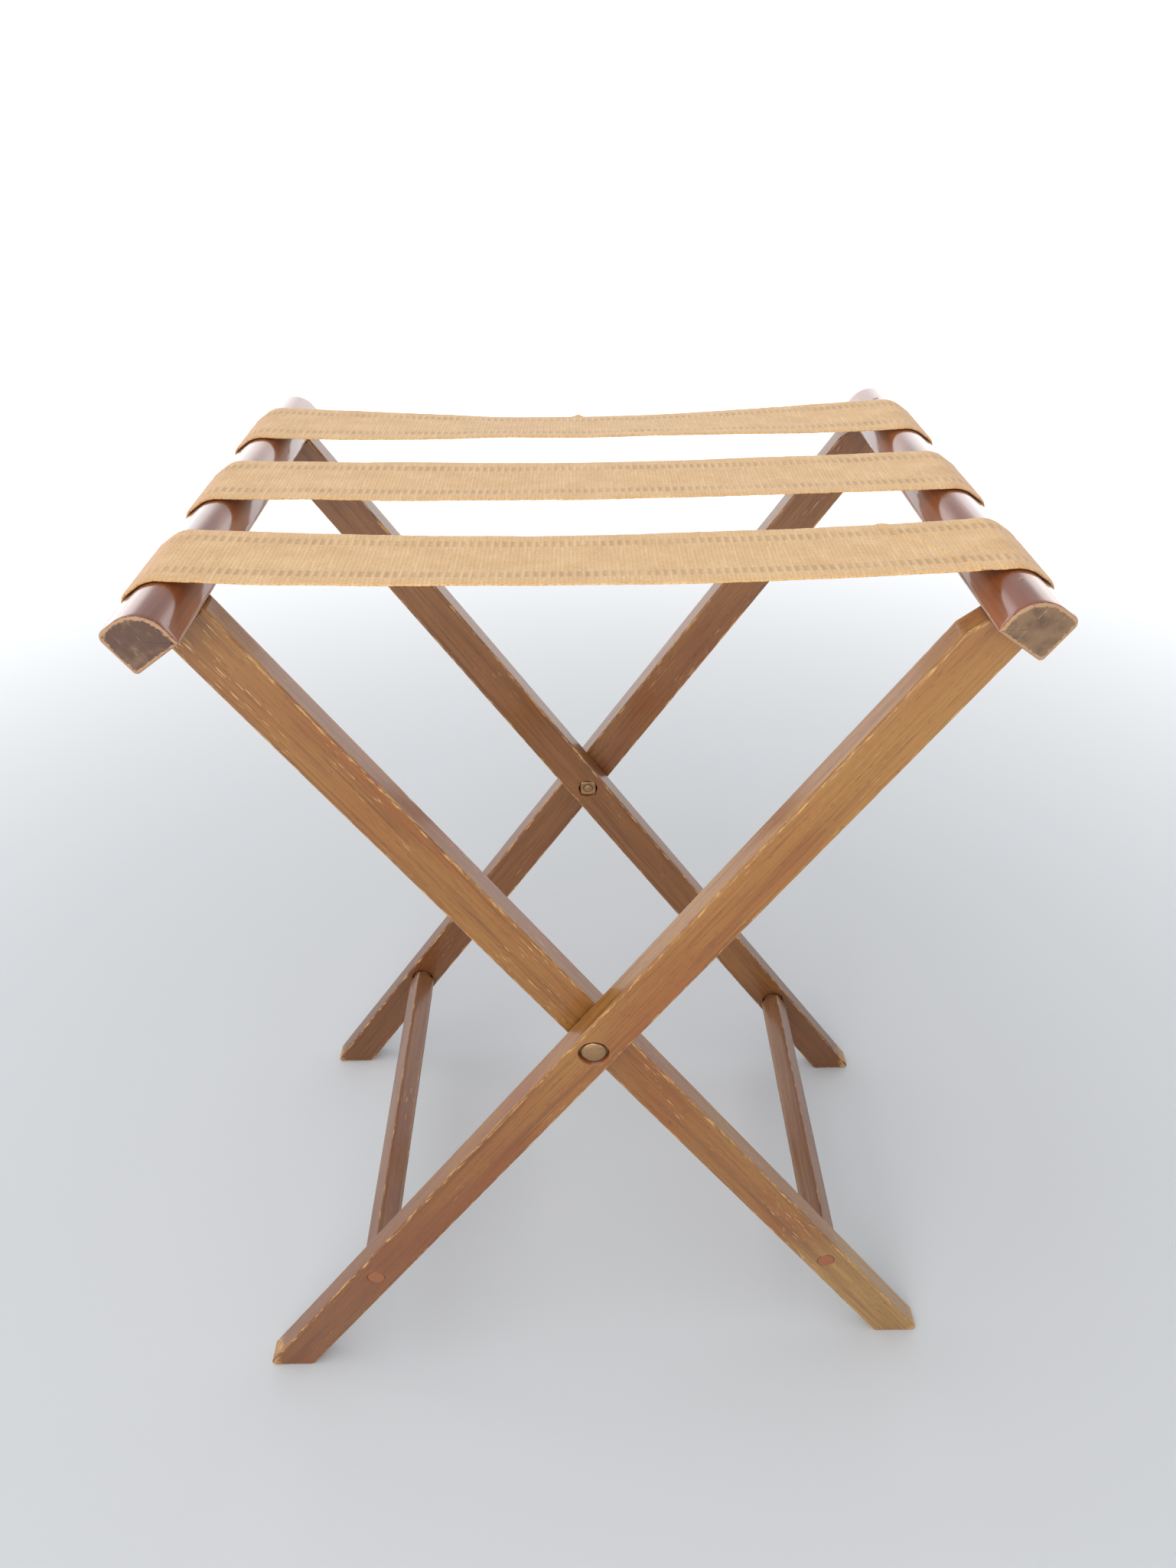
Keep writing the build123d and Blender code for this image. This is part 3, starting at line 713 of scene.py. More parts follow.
tack_profile = [(0.1, -8.0), (0.7, -6.0), (0.7, 0.0), (TACK_RADIUS - 0.15, 0.0),
                (TACK_RADIUS, 0.2)] + cap_profile(TACK_RADIUS - 0.04, TACK_HEIGHT - 0.35, 0.35, 6)
nail_profile = [(0.1, -NAIL_LENGTH), (0.9, -NAIL_LENGTH + 2), (0.9, -0.8), (NAIL_RADIUS, -0.5),
                (NAIL_RADIUS, -0.02), (NAIL_RADIUS - 0.15, 0.06), (0.7, 0.02)]
tacks, nails = [], []
for f, side in SIDE.items():
    tack_y = np.array([y + (k - (TACKS_PER_END - 1) / 2) * TACK_PITCH
                       for y in STRAP_Y.values() for k in range(TACKS_PER_END)])
    tacks.append(many(f"{f}_rail_tacks_brass", spin(tack_profile, PIN_COLUMNS),
                      place(side, HEM_MIDDLE, HEM_FACE, tack_y), np.array([side * COS, 0.0, -SIN]),
                      f"{f}_frame", f"{f}_rail_tacks"))
    leg_y = np.array([sum(c[1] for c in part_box(f"{f}_leg_{e}")) / 2 / MM for e in ENDS])
    on_round = place(side, RAIL_HIGH - DOME_RADIUS * (1 - DIAGONAL),
                     DOME_N + DOME_RADIUS * DIAGONAL, leg_y)
    slanted = np.array([side * DIAGONAL * (SIN - COS), 0.0, DIAGONAL * (COS + SIN)])
    nails.append(many(f"{f}_rail_nails_steel", spin(nail_profile, PIN_COLUMNS), on_round, slanted,
                      f"{f}_frame", f"{f}_rail_brads"))

# %% [markdown]
# The straps are flat woven jute webbing, 58 mm wide and a little under 2 mm thick.
# Each was cut about 470 mm long, its ends folded double, and tacked to the outside of the rails.
# Webbing that is pulled flat doesn't need a cloth simulation: its path follows from the rail. It
# goes up the rail's side, over its two rounds, and leaves the big one where it points at the
# other rail, then hangs in a shallow curve.
# The rack folds, so each strap is two halves that meet at its middle.

# %% A strap's path
WEBBING_WIDTH, WEBBING_THICKNESS = 58.0, 1.8
HALF_THICK, RIM = WEBBING_THICKNESS / 2, WEBBING_WIDTH / 2
LIFT = HALF_THICK + 0.1
HEM_LOW, HEM_TURN, HEM_UNDER, HEM_OVER = RAIL_LOW + 4.0, 1.0, 12.0, 10.5
CORNER_ROUND = RAIL_RADII[3]
STRAP_STEP = 0.6


def arc(centre, radius, begin, finish, steps):
    """Points of an arc in the (n, s) plane; its angles count from s towards n."""
    angle = np.linspace(begin, finish, steps)
    return np.stack([centre[0] + radius * np.sin(angle), centre[1] + radius * np.cos(angle)], -1)


def strap_path(sag):
    """Middle line of half a strap as (x, z) for the right side, from the rack's middle outwards,
    every 0.6 mm. Over the gap z falls by tan(leave) x / 2 (1 - (x / end)^2) below the rail's top,
    the parabola that leaves the rail's round smoothly."""
    outer_n = -HALF - LIFT
    hem_n = outer_n - 2 * HEM_TURN
    leave = math.atan(2 * sag / DOME_X)
    down = np.stack([np.full(9, outer_n),
                     np.linspace(HEM_LOW + HEM_UNDER, HEM_LOW + HEM_TURN, 9)], -1)
    turn = arc((outer_n - HEM_TURN, HEM_LOW + HEM_TURN), HEM_TURN, math.pi / 2, 3 * math.pi / 2, 9)
    up = np.stack([np.full(7, hem_n),
                   np.linspace(HEM_LOW + HEM_TURN, HEM_LOW + HEM_OVER, 7)], -1)
    t = np.linspace(0, 1, 12)[1:-1]
    back_on = np.stack([hem_n + (outer_n - hem_n) * t * t * (3 - 2 * t), HEM_LOW + HEM_OVER
                        + (RAIL_HIGH - CORNER_ROUND - HEM_LOW - HEM_OVER) * t], -1)
    corner = arc((-HALF + CORNER_ROUND, RAIL_HIGH - CORNER_ROUND), CORNER_ROUND + LIFT,
                 -math.pi / 2, 0, 12)
    dome = arc((DOME_N, RAIL_HIGH - DOME_RADIUS), DOME_RADIUS + LIFT, 0, LEAN + leave, 30)
    wrap = np.concatenate([down, turn[1:-1], up, back_on, corner, dome])
    x = wrap[:, 1] * SIN - wrap[:, 0] * COS
    z = PIVOT_Z + wrap[:, 1] * COS + wrap[:, 0] * SIN
    q = np.linspace(1, 0, 80)[1:]
    gap = np.stack([x[-1] * q, z[-1] - math.tan(leave) * x[-1] / 2 * (1 - q**2)], -1)
    path = np.concatenate([np.stack([x, z], -1), gap])[::-1]
    along = np.concatenate([[0], np.cumsum(np.linalg.norm(np.diff(path, axis=0), axis=1))])
    steps = round(along[-1] / STRAP_STEP)
    places = np.linspace(0, along[-1], steps + 1)
    line = np.stack([np.interp(places, along, path[:, k]) for k in (0, 1)], -1)
    return places, line, x[-1]


# %% [markdown]
# The webbing's surface has two bands of cross bars near its edges, where a group of warp yarns
# dips under every second weft. The edges themselves are never straight: they wander and bulge a
# little at each weft.
# An edge may only wander 0.3 mm outwards. The front and back straps pass close beside the outer
# legs when the rack is closed, and a wider bulge would cut into them.

# %% The webbing's section and surface
ACROSS, EDGE_POINTS = 63, np.array([0.6, 0.25])
BAR_PERIOD, BAR_BAND, BAND_HALF, BAND_FADE = 3.75, 18.0, 3.9, 1.2
BAR_DEPTH, RIB_DEPTH, CLOTH_DEPTH = 0.2, 0.05, 0.096
EDGE_LIMIT, EDGE_SHARPNESS = 0.3, 6


def webbing_section():
    """v, face and height round the section: over the top from the left edge and back below. face
    is 1 on top, -1 below and 0 on the edges; height is face x half the thickness x
    sqrt(1 - |v / rim|^20)."""
    flat = np.linspace(-1, 1, ACROSS) * (RIM - 1.2)
    near_edge = RIM - EDGE_POINTS
    v = np.concatenate([-near_edge[::-1], flat, near_edge])
    face = np.concatenate([[0], np.ones(len(v)), [0], -np.ones(len(v))])
    v = np.concatenate([[-RIM], v, [RIM], v[::-1]])
    return v, face, face * HALF_THICK * np.sqrt(np.clip(1 - np.abs(v / RIM) ** 20, 0, 1))


def woven_relief(u, v, seed):
    """Depth of the bars, from 0 to 1, and height of the relief in mm: rough cloth, minus the bars
    inside their bands, minus a shallow rib everywhere else. beat is a cosine along u."""
    band = 1 - ease(np.abs(np.abs(v) - BAR_BAND), BAND_HALF - BAND_FADE, BAND_HALF)
    beat = 0.5 + 0.5 * np.cos(2 * math.pi * u / BAR_PERIOD)
    bars = band * beat * (0.4 + 0.6 * soft_noise(u, v, 11, 30, seed + 5))
    cloth = CLOTH_DEPTH * (soft_noise(u, v, 2.2, 1.6, seed) - 0.5)
    return bars, cloth - BAR_DEPTH * bars - RIB_DEPTH * (1 - band) * beat


def wandering_edges(u, v, seed):
    """v moved outwards by |v / rim|^3 of a random walk of the edge: slow lumps, fine fuzz and a
    bulge at each bar. limit - ln(1 + e^(6 (limit - walk))) / 6 keeps it under the limit."""
    own_edge = 0 * v + np.sign(v) * 50
    walk = (1.1 * (soft_noise(u, own_edge, 24, 9, seed + 1) - 0.5)
            + 0.75 * (soft_noise(u, own_edge, 3.2, 9, seed + 2) - 0.5)
            + 0.15 * np.cos(2 * math.pi * u / BAR_PERIOD))
    over = np.logaddexp(0, EDGE_SHARPNESS * (EDGE_LIMIT - walk)) / EDGE_SHARPNESS
    return v + np.sign(v) * np.abs(v / RIM) ** 3 * (EDGE_LIMIT - over)


# %% How a strap hangs
HABITS = {  # sag in mm, then how much lower the back edge hangs than the middle line
    "front": (5.5, 0.4), "middle": (3.6, 0.3), "back": (5.2, 2.9)}
WAVE_HEIGHT, CURL_HEIGHT, FRAY_HEIGHT, CREASE_HEIGHT = 0.9, 0.5, 1.3, 0.7
FRAY_AT, FRAY_WIDTH, CREASE_AT, CREASE_WIDTH, CREASE_SLANT = -3, 2.2, 152, 2.4, 0.55
HELD_FROM, HELD_FULLY = 45, 4


def hang(strap, side, u, v, x, leaves, seed):
    """Height in mm that a point gains off the flat path: slow waves and a curl of the edges where
    the strap is free, the back edge's droop, a bump where the back strap is frayed, and one
    slanted crease in the front strap, each bump e^-(distance / width)^2."""
    free = 1 - ease(x, leaves - HELD_FROM, leaves - HELD_FULLY)
    rise = WAVE_HEIGHT * (soft_noise(u, v, 46, 34, seed + 3) - 0.5) * free
    rise = rise - HABITS[strap][1] * (v / RIM) * (1 - np.clip(x / leaves, 0, 1) ** 2) ** 2
    rise = rise + CURL_HEIGHT * ((v / RIM) ** 2 - 0.3) * free
    if strap == "back":
        frayed = np.exp(-((u - FRAY_AT) / FRAY_WIDTH) ** 2) * ease(v, RIM - 4, RIM - 1)
        rise = rise + FRAY_HEIGHT * frayed
    if strap == "front" and side > 0:
        crease = np.exp(-(((u - CREASE_AT) + CREASE_SLANT * v) / CREASE_WIDTH) ** 2)
        rise = rise + CREASE_HEIGHT * crease * (np.abs(v) < RIM)
    return rise


# %% Half a strap
FRAME_OF = {1: ("outer", "right"), -1: ("inner", "left")}
BEND_BEFORE_END, BEND_LENGTH = 62, 26
BLEND_FROM, BLEND_TO, STRAP_SEED = -9.0, 15.0, 100


def half_strap(strap, side):
    """Closed skin of half a strap: the section is carried along the path, each point moved off it
    by height + relief square to the path, then by the way the strap hangs. v runs across and u
    along, signed, so both halves share one pattern."""
    along, line, leaves = strap_path(HABITS[strap][0])
    seed = STRAP_SEED + 10 * list(HABITS).index(strap)
    v, face, height = webbing_section()
    u = side * along[:, None]
    x, z = line[:, :1], line[:, 1:]
    slope = np.gradient(line, axis=0)
    slope /= np.linalg.norm(slope, axis=1)[:, None]
    bars, relief = woven_relief(u, v, seed)
    offset = height + face * relief
    x_all = x + slope[:, 1:] * offset
    z_all = z - slope[:, :1] * offset + hang(strap, side, u, v, x, leaves, seed)
    y_all = STRAP_Y[strap] + wandering_edges(u, v, seed)
    loops = np.stack(np.broadcast_arrays(side * x_all, y_all, z_all), -1) * MM
    # bend rises over the stretch towards the rail, where the finish browns the strap, partly grime
    # and partly painted shade.
    bend = ease(along[:, None] - (along[-1] - BEND_BEFORE_END), 0, BEND_LENGTH) + 0 * v
    uv = np.stack(np.broadcast_arrays(v * MM, u * MM), -1).reshape(-1, 2)
    uv = np.concatenate([uv, uv[:1], uv[-1:]])
    frame_name, place_name = FRAME_OF[side]
    piece = new_piece(f"{strap}_strap_{place_name}_half", *capped(loops), uv=uv,
                      **with_ends({"bars": bars, "bend": bend}))
    sharpen_ends(piece, *loops.shape[:2])
    start = place(side, RAIL_HIGH, BLEND_FROM, STRAP_Y[strap])
    finish = place(side, RAIL_HIGH, BLEND_TO, STRAP_Y[strap])
    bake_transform(piece)
    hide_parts(f"{strap}_strap_{frame_name}_wrap", f"{strap}_strap_{frame_name}_span")
    return piece, along[-1]


def sharpen_ends(piece, rows, columns):
    """The skin's first and last loops are cut ends, so their edges are marked sharp and the
    shading doesn't turn round them."""
    pairs = np.zeros(len(piece.data.edges) * 2, np.int32)
    piece.data.edges.foreach_get("vertices", pairs)
    pairs = pairs.reshape(-1, 2)
    row = np.minimum(pairs // columns, rows)
    on_end = (row == 0).all(1) | (row == rows - 1).all(1)
    layer = piece.data.attributes.new("sharp_edge", "BOOLEAN", "EDGE")
    layer.data.foreach_set("value", on_end)


halves, strap_lengths = [], {}
for strap in HABITS:
    for side in FRAME_OF:
        piece, length = half_strap(strap, side)
        halves.append(piece)
        strap_lengths[strap] = strap_lengths.get(strap, 0) + length
print("cut length of each strap in mm:", {k: round(v) for k, v in strap_lengths.items()})

# %% [markdown]
# Finishes come next. Each is a small network of nodes, and one helper adds a node with its
# settings and its links. Colours are written as the usual sRGB hex values and turned to the
# linear light that Blender works in.

# %% Helpers for finishes
def hex_colour(code):
    """Linear colour: c / 12.92 for dark values, else ((c + 0.055) / 1.055)^2.4."""
    c = np.array([int(code[k:k + 2], 16) / 255 for k in (1, 3, 5)])
    c = np.where(c <= 0.04045, c / 12.92, ((c + 0.055) / 1.055) ** 2.4)
    return (*[float(x) for x in c], 1.0)


def add(tree, kind, settings=(), links=()):
    """One node: settings are socket values or the node's own properties, links are sockets to
    join. A ramp's stops are (place, colour) pairs."""
    made = tree.nodes.new("ShaderNode" + kind)
    for key, value in dict(settings).items():
        if key == "stops":
            for number, (place_on, colour) in enumerate(value):
                stop = (made.color_ramp.elements[number] if number < 2
                        else made.color_ramp.elements.new(place_on))
                stop.position, stop.color = place_on, colour
        elif isinstance(key, int) or key in made.inputs.keys():
            made.inputs[key].default_value = value
        else:
            setattr(made, key, value)
    for key, output in dict(links).items():
        tree.links.new(output, made.inputs[key])
    return made


def new_material(name):
    """Empty material with a Principled surface, and its tree."""
    material = bpy.data.materials.new(name)
    material.use_nodes = True
    tree = material.node_tree
    tree.nodes.clear()
    surface = add(tree, "BsdfPrincipled")
    add(tree, "OutputMaterial", links={"Surface": surface.outputs[0]})
    return material, tree, surface


def per_mm(*sizes):
    """Mapping scale that makes one pattern cell as large as each size in mm."""
    return tuple(1 / (size * MM) for size in sizes)


def span(low, high, out_low=0.0, out_high=1.0):
    """Settings that make a Map Range ease from out_low at low to out_high at high."""
    return {"interpolation_type": "SMOOTHSTEP", "From Min": low, "From Max": high,
            "To Min": out_low, "To Max": out_high}


# %% [markdown]
# A finish is built up in layers, as a polisher would: one tone over another wherever a mask lets
# it through. Most layers below are made that way, from a noise whose cells have a real size.

# %% Layers of a finish
def lay(tree, tone, limits, mask, under, **settings):
    """One layer: the tone lies over what is under it, eased in between the mask's limits. Sockets
    0, 6 and 7 of a colour mix are its share and its two colours, and output 2 is the result."""
    share = add(tree, "MapRange", span(*limits), {"Value": mask}).outputs[0]
    return add(tree, "Mix", {"data_type": "RGBA", 7: hex_colour(tone), **settings},
               {0: share, 6: under}).outputs[2]


def follow(tree, socket, limits, mask):
    """Lets one number of a surface follow a mask, eased between the limits' two outputs."""
    tree.links.new(add(tree, "MapRange", span(*limits), {"Value": mask}).outputs[0], socket)


def cells(tree, coordinates, size, **settings):
    """Noise from about 0 to 1, whose cells have the given sizes in mm."""
    sized = add(tree, "Mapping", {"Scale": per_mm(*size)}, {"Vector": coordinates}).outputs[0]
    return add(tree, "TexNoise", {"Scale": 1.0, **settings}, {"Vector": sized}).outputs[0]


def upright_bar(tree, turn, shift):
    """Object coordinates and the same turned by the bar's lean, so that one axis is its length.
    The shift moves the pattern, so that no two bars are alike."""
    coordinates = add(tree, "TexCoord").outputs["Object"]
    return coordinates, add(tree, "Mapping", {"Rotation": (0, turn, 0), "Location": shift},
                            {"Vector": coordinates}).outputs[0]


# %% [markdown]
# The legs and stretchers are beech, planed, stained to a mid brown and wiped with shellac.
# The stain sits unevenly, so the tone drifts between red-brown and gold along the grain. Open
# pores show as short dark dashes, and where hands and floors rub the corners, the finish is gone
# and pale raw wood shows.

# %% Stained beech
PORE, FLECK, SAWN, HOLE_SHADE_PAINTED, RAW_BEECH = "#4A2A18", "#D9B07C", "#94501F", "#3E2415", "#BC915A"


def stained_beech(name, turn, long_axis, tones, seed, low_ends, pale=0.5):
    """Grain runs along the bar, with streaks 1.3 mm wide and 65 mm long. tones are (shade, red,
    gold, bottom tone), low_ends the heights between which the bottom tone comes in towards the
    foot, and pale how strongly the open grain shows."""
    material, tree, surface = new_material(name)
    coordinates, upright = upright_bar(tree, turn, (seed, seed * 2, seed))

    def grain(across, along, **settings):
        size = [across] * 3
        size[long_axis] = along
        return cells(tree, upright, size, **settings)

    shade, red, gold, bottom_tone = tones
    streaks = grain(1.3, 65, Detail=4.0, Roughness=0.65, Distortion=0.35)
    pores = grain(0.42, 6.5, Detail=1.0)
    drift = add(tree, "MapRange", span(0.25, 0.7), {"Value": grain(26, 110, Detail=2.0)})
    colour = add(tree, "Mix", {"data_type": "RGBA", 6: hex_colour(red), 7: hex_colour(gold)},
                 {0: drift.outputs[0]}).outputs[2]
    height = add(tree, "SeparateXYZ", links={0: coordinates}).outputs[2]
    # Towards the foot the tone eases to the leg's bottom tone: darker on most legs, paler on the
    # inner front one.
    colour = lay(tree, bottom_tone, (*low_ends, 0, 0.7), height, colour)
    colour = lay(tree, shade, (0.44, 0.74, 0, 0.62), streaks, colour)
    colour = lay(tree, shade, (0.5, 0.75, 0, 0.38), grain(5.5, 160, Detail=3.0, Distortion=0.6),
                 colour)
    colour = lay(tree, PORE, (0.63, 0.74, 0, 0.55), pores, colour)
    flecks = add(tree, "MapRange", span(0.64, 0.72), {"Value": grain(0.6, 11, Detail=2.0)})
    where = add(tree, "MapRange", span(0.5, 0.66, 0, pale), {"Value": grain(14, 55, Detail=1.0)})
    open_grain = add(tree, "Math", {"operation": "MULTIPLY"},
                     {0: flecks.outputs[0], 1: where.outputs[0]})
    colour = add(tree, "Mix", {"data_type": "RGBA", 7: hex_colour(FLECK)},
                 {0: open_grain.outputs[0], 6: colour}).outputs[2]
    cut = add(tree, "Attribute", {"attribute_name": "cut"}).outputs["Fac"]
    colour = lay(tree, SAWN, (0.3, 1.0, 0, 0.75), cut, colour)
    # Painted shade: below the rim of each hole the wood is darkened, as shade falls there.
    colour = lay(tree, HOLE_SHADE_PAINTED, (1.0, 1.8, 0, 0.75), cut, colour)
    worn = add(tree, "Attribute", {"attribute_name": "worn"}).outputs["Fac"]
    rubbed = add(tree, "Math", {"operation": "MULTIPLY_ADD", 1: 0.62},
                 {0: worn, 2: grain(1.3, 11, Detail=3.0, Roughness=0.7)}).outputs[0]
    bare = add(tree, "MapRange", span(1.11, 1.24), {"Value": rubbed}).outputs[0]
    colour = add(tree, "Mix", {"data_type": "RGBA", 7: hex_colour(RAW_BEECH)},
                 {0: bare, 6: colour}).outputs[2]
    tree.links.new(colour, surface.inputs["Base Color"])
    follow(tree, surface.inputs["Roughness"], (0, 1, 0.4, 0.68), bare)
    follow(tree, surface.inputs["Coat Weight"], (0, 1, 0.5, 0.06), bare)
    surface.inputs["Coat Roughness"].default_value = 0.16
    surface.inputs["Specular IOR Level"].default_value = 0.3
    grooves = add(tree, "Math", {"operation": "MULTIPLY_ADD", 1: -0.6}, {0: pores, 2: streaks})
    bump = add(tree, "Bump", {"Strength": 0.22, "Distance": 0.25 * MM},
               {"Height": grooves.outputs[0]})
    tree.links.new(bump.outputs[0], surface.inputs["Normal"])
    return material


# %% Beech on the legs and stretchers
LEG_TONES = {("outer", "front"): ("#5E3214", "#8D5527", "#9C6E36", "#713A14"),
             ("outer", "back"): ("#4E2C16", "#7A4824", "#875A30", "#6B4020"),
             ("inner", "front"): ("#5C3316", "#885022", "#926430", "#A58048"),
             ("inner", "back"): ("#4E2C16", "#74461F", "#8A5B30", "#6B4020")}
STRETCHER_TONES = ("#5A3420", "#7A4C32", "#86603F", "#7A4C32")
BOTTOM_TONE_HEIGHTS = {"outer": (0.34, 0.08), "inner": (0.12, 0.07)}
ALONG_Y, ALONG_Z = 1, 2
for (f, e), piece in legs.items():
    pale = 0.95 if (f, e) == ("inner", "front") else 0.5
    piece.data.materials.append(stained_beech(
        f"stained_beech_{f}_{e}", -SIDE[f] * LEAN, ALONG_Z, LEG_TONES[f, e],
        0.37 * (len(f) + 2 * ENDS[e]), BOTTOM_TONE_HEIGHTS[f], pale))
for f, piece in stretchers.items():
    piece.data.materials.append(stained_beech(
        f"stained_beech_stretcher_{f}", -SIDE[f] * LEAN, ALONG_Y, STRETCHER_TONES,
        1.9 + SIDE[f], (0.01, 0.0)))

# %% [markdown]
# The rails have a deeper stain under a thick gloss varnish, brushed on and never rubbed down.
# The varnish is a clear coat of its own: a smooth second surface over the coloured wood, which
# mirrors the room sharply. At the sawn ends it soaked in, so they stay dull.

# %% Varnished rails
RAIL_STAIN = [(0.28, "#542610"), (0.5, "#7A3A16"), (0.72, "#965224")]
END_DARK, END_LIGHT, SCRATCH, WORN_STAIN = "#4A3022", "#84684E", "#C0A688", "#A5805C"


def varnished_rail(name, turn, end_tone, seed):
    """Streaks along y under a full clear coat; the cut ends swap to a dull grey-brown with fine
    scratches, and the corners show worn wood in a broken line."""
    material, tree, surface = new_material(name)
    _, upright = upright_bar(tree, turn, (seed, seed, seed))
    streaks = cells(tree, upright, (1.6, 80, 1.6), Detail=4.0, Roughness=0.6, Distortion=0.4)
    drift = add(tree, "MapRange", span(0, 1, 0.12, 0.45),
                {"Value": cells(tree, upright, (9, 70, 9), Detail=2.0)}).outputs[0]
    drifting = add(tree, "Math", {"operation": "MULTIPLY_ADD", 1: 0.45}, {0: streaks, 2: drift})
    stain = add(tree, "ValToRGB", {"stops": [(p, hex_colour(tone)) for p, tone in RAIL_STAIN]},
                {0: drifting.outputs[0]}).outputs[0]
    end_blotch = cells(tree, upright, (7, 7, 7), Detail=3.0)
    end_wood = add(tree, "ValToRGB", {"stops": [
        (0.2, hex_colour(END_DARK)), (0.5, hex_colour(end_tone)), (0.9, hex_colour(END_LIGHT))]},
        {0: end_blotch}).outputs[0]
    scratched = lay(tree, SCRATCH, (0.68, 0.76, 0, 0.5),
                    cells(tree, upright, (0.5, 5, 9), Detail=1.0, Distortion=1.2), end_wood)
    cut = add(tree, "Attribute", {"attribute_name": "cut"}).outputs["Fac"]
    worn = add(tree, "Attribute", {"attribute_name": "worn"}).outputs["Fac"]
    wood = add(tree, "Mix", {"data_type": "RGBA"}, {0: cut, 6: stain, 7: scratched}).outputs[2]
    rub = cells(tree, upright, (2.0, 9, 2.0), Detail=3.0, Roughness=0.7)
    rubbed = add(tree, "Math", {"operation": "MULTIPLY_ADD", 1: 0.55}, {0: worn, 2: rub})
    bare = add(tree, "MapRange", span(0.95, 1.15), {"Value": rubbed.outputs[0]}).outputs[0]
    colour = add(tree, "Mix", {"data_type": "RGBA", 7: hex_colour(WORN_STAIN)},
                 {0: bare, 6: wood}).outputs[2]
    tree.links.new(colour, surface.inputs["Base Color"])
    dull = add(tree, "Math", {"operation": "MAXIMUM"}, {0: bare, 1: cut}).outputs[0]
    follow(tree, surface.inputs["Roughness"], (0, 1, 0.3, 0.6), dull)
    follow(tree, surface.inputs["Coat Weight"], (0, 1, 1.0, 0.15), dull)
    surface.inputs["Coat Roughness"].default_value = 0.07
    brush = cells(tree, upright, (1.1, 30, 1.1), Detail=2.0)
    brushed = add(tree, "Bump", {"Strength": 0.06, "Distance": 0.3 * MM}, {"Height": brush})
    tree.links.new(brushed.outputs[0], surface.inputs["Coat Normal"])
    end_only = add(tree, "Math", {"operation": "MULTIPLY"}, {0: end_blotch, 1: cut}).outputs[0]
    rough_end = add(tree, "Bump", {"Strength": 0.15, "Distance": 0.2 * MM}, {"Height": end_only})
    tree.links.new(rough_end.outputs[0], surface.inputs["Normal"])
    return material


rails["inner"].data.materials.append(varnished_rail("varnished_rail_left", LEAN, "#563828", 0.4))
rails["outer"].data.materials.append(varnished_rail("varnished_rail_right", -LEAN, "#74583C", 1.7))

# %% [markdown]
# Jute is a coarse, dry bast fibre, spun into yarn and woven plain, with no finish at all.
# The eye gets a warm tan, specked with stray fibres. Painted shade darkens the gaps between the
# yarns, so the crowns stay paler, and where the strap bends over the rail it is browner, partly
# from grime and partly from painted shade.
# The weft is 1.9 mm apart, which is right at the limit of what a picture of the whole rack
# shows, so its relief is drawn a little deeper than it is.

# %% Jute webbing
WEFT_PITCH, WARP_PITCH = BAR_PERIOD / 2, 1.5
JUTE = [(0.3, "#CDA068"), (0.5, "#D5A971"), (0.7, "#DBB27D")]
DARK_YARN, PALE_WEFT, WEAVE_GAP_SHADE, BAR, BEND_GRIME_AND_SHADE = "#A67C4C", "#EBC793", "#8A6236", "#7E5C36", "#DDB88E"
FUZZ, LIGHT_FIBRE, DARK_FIBRE = "#F2D8AC", "#F6E2BE", "#6E4A26"


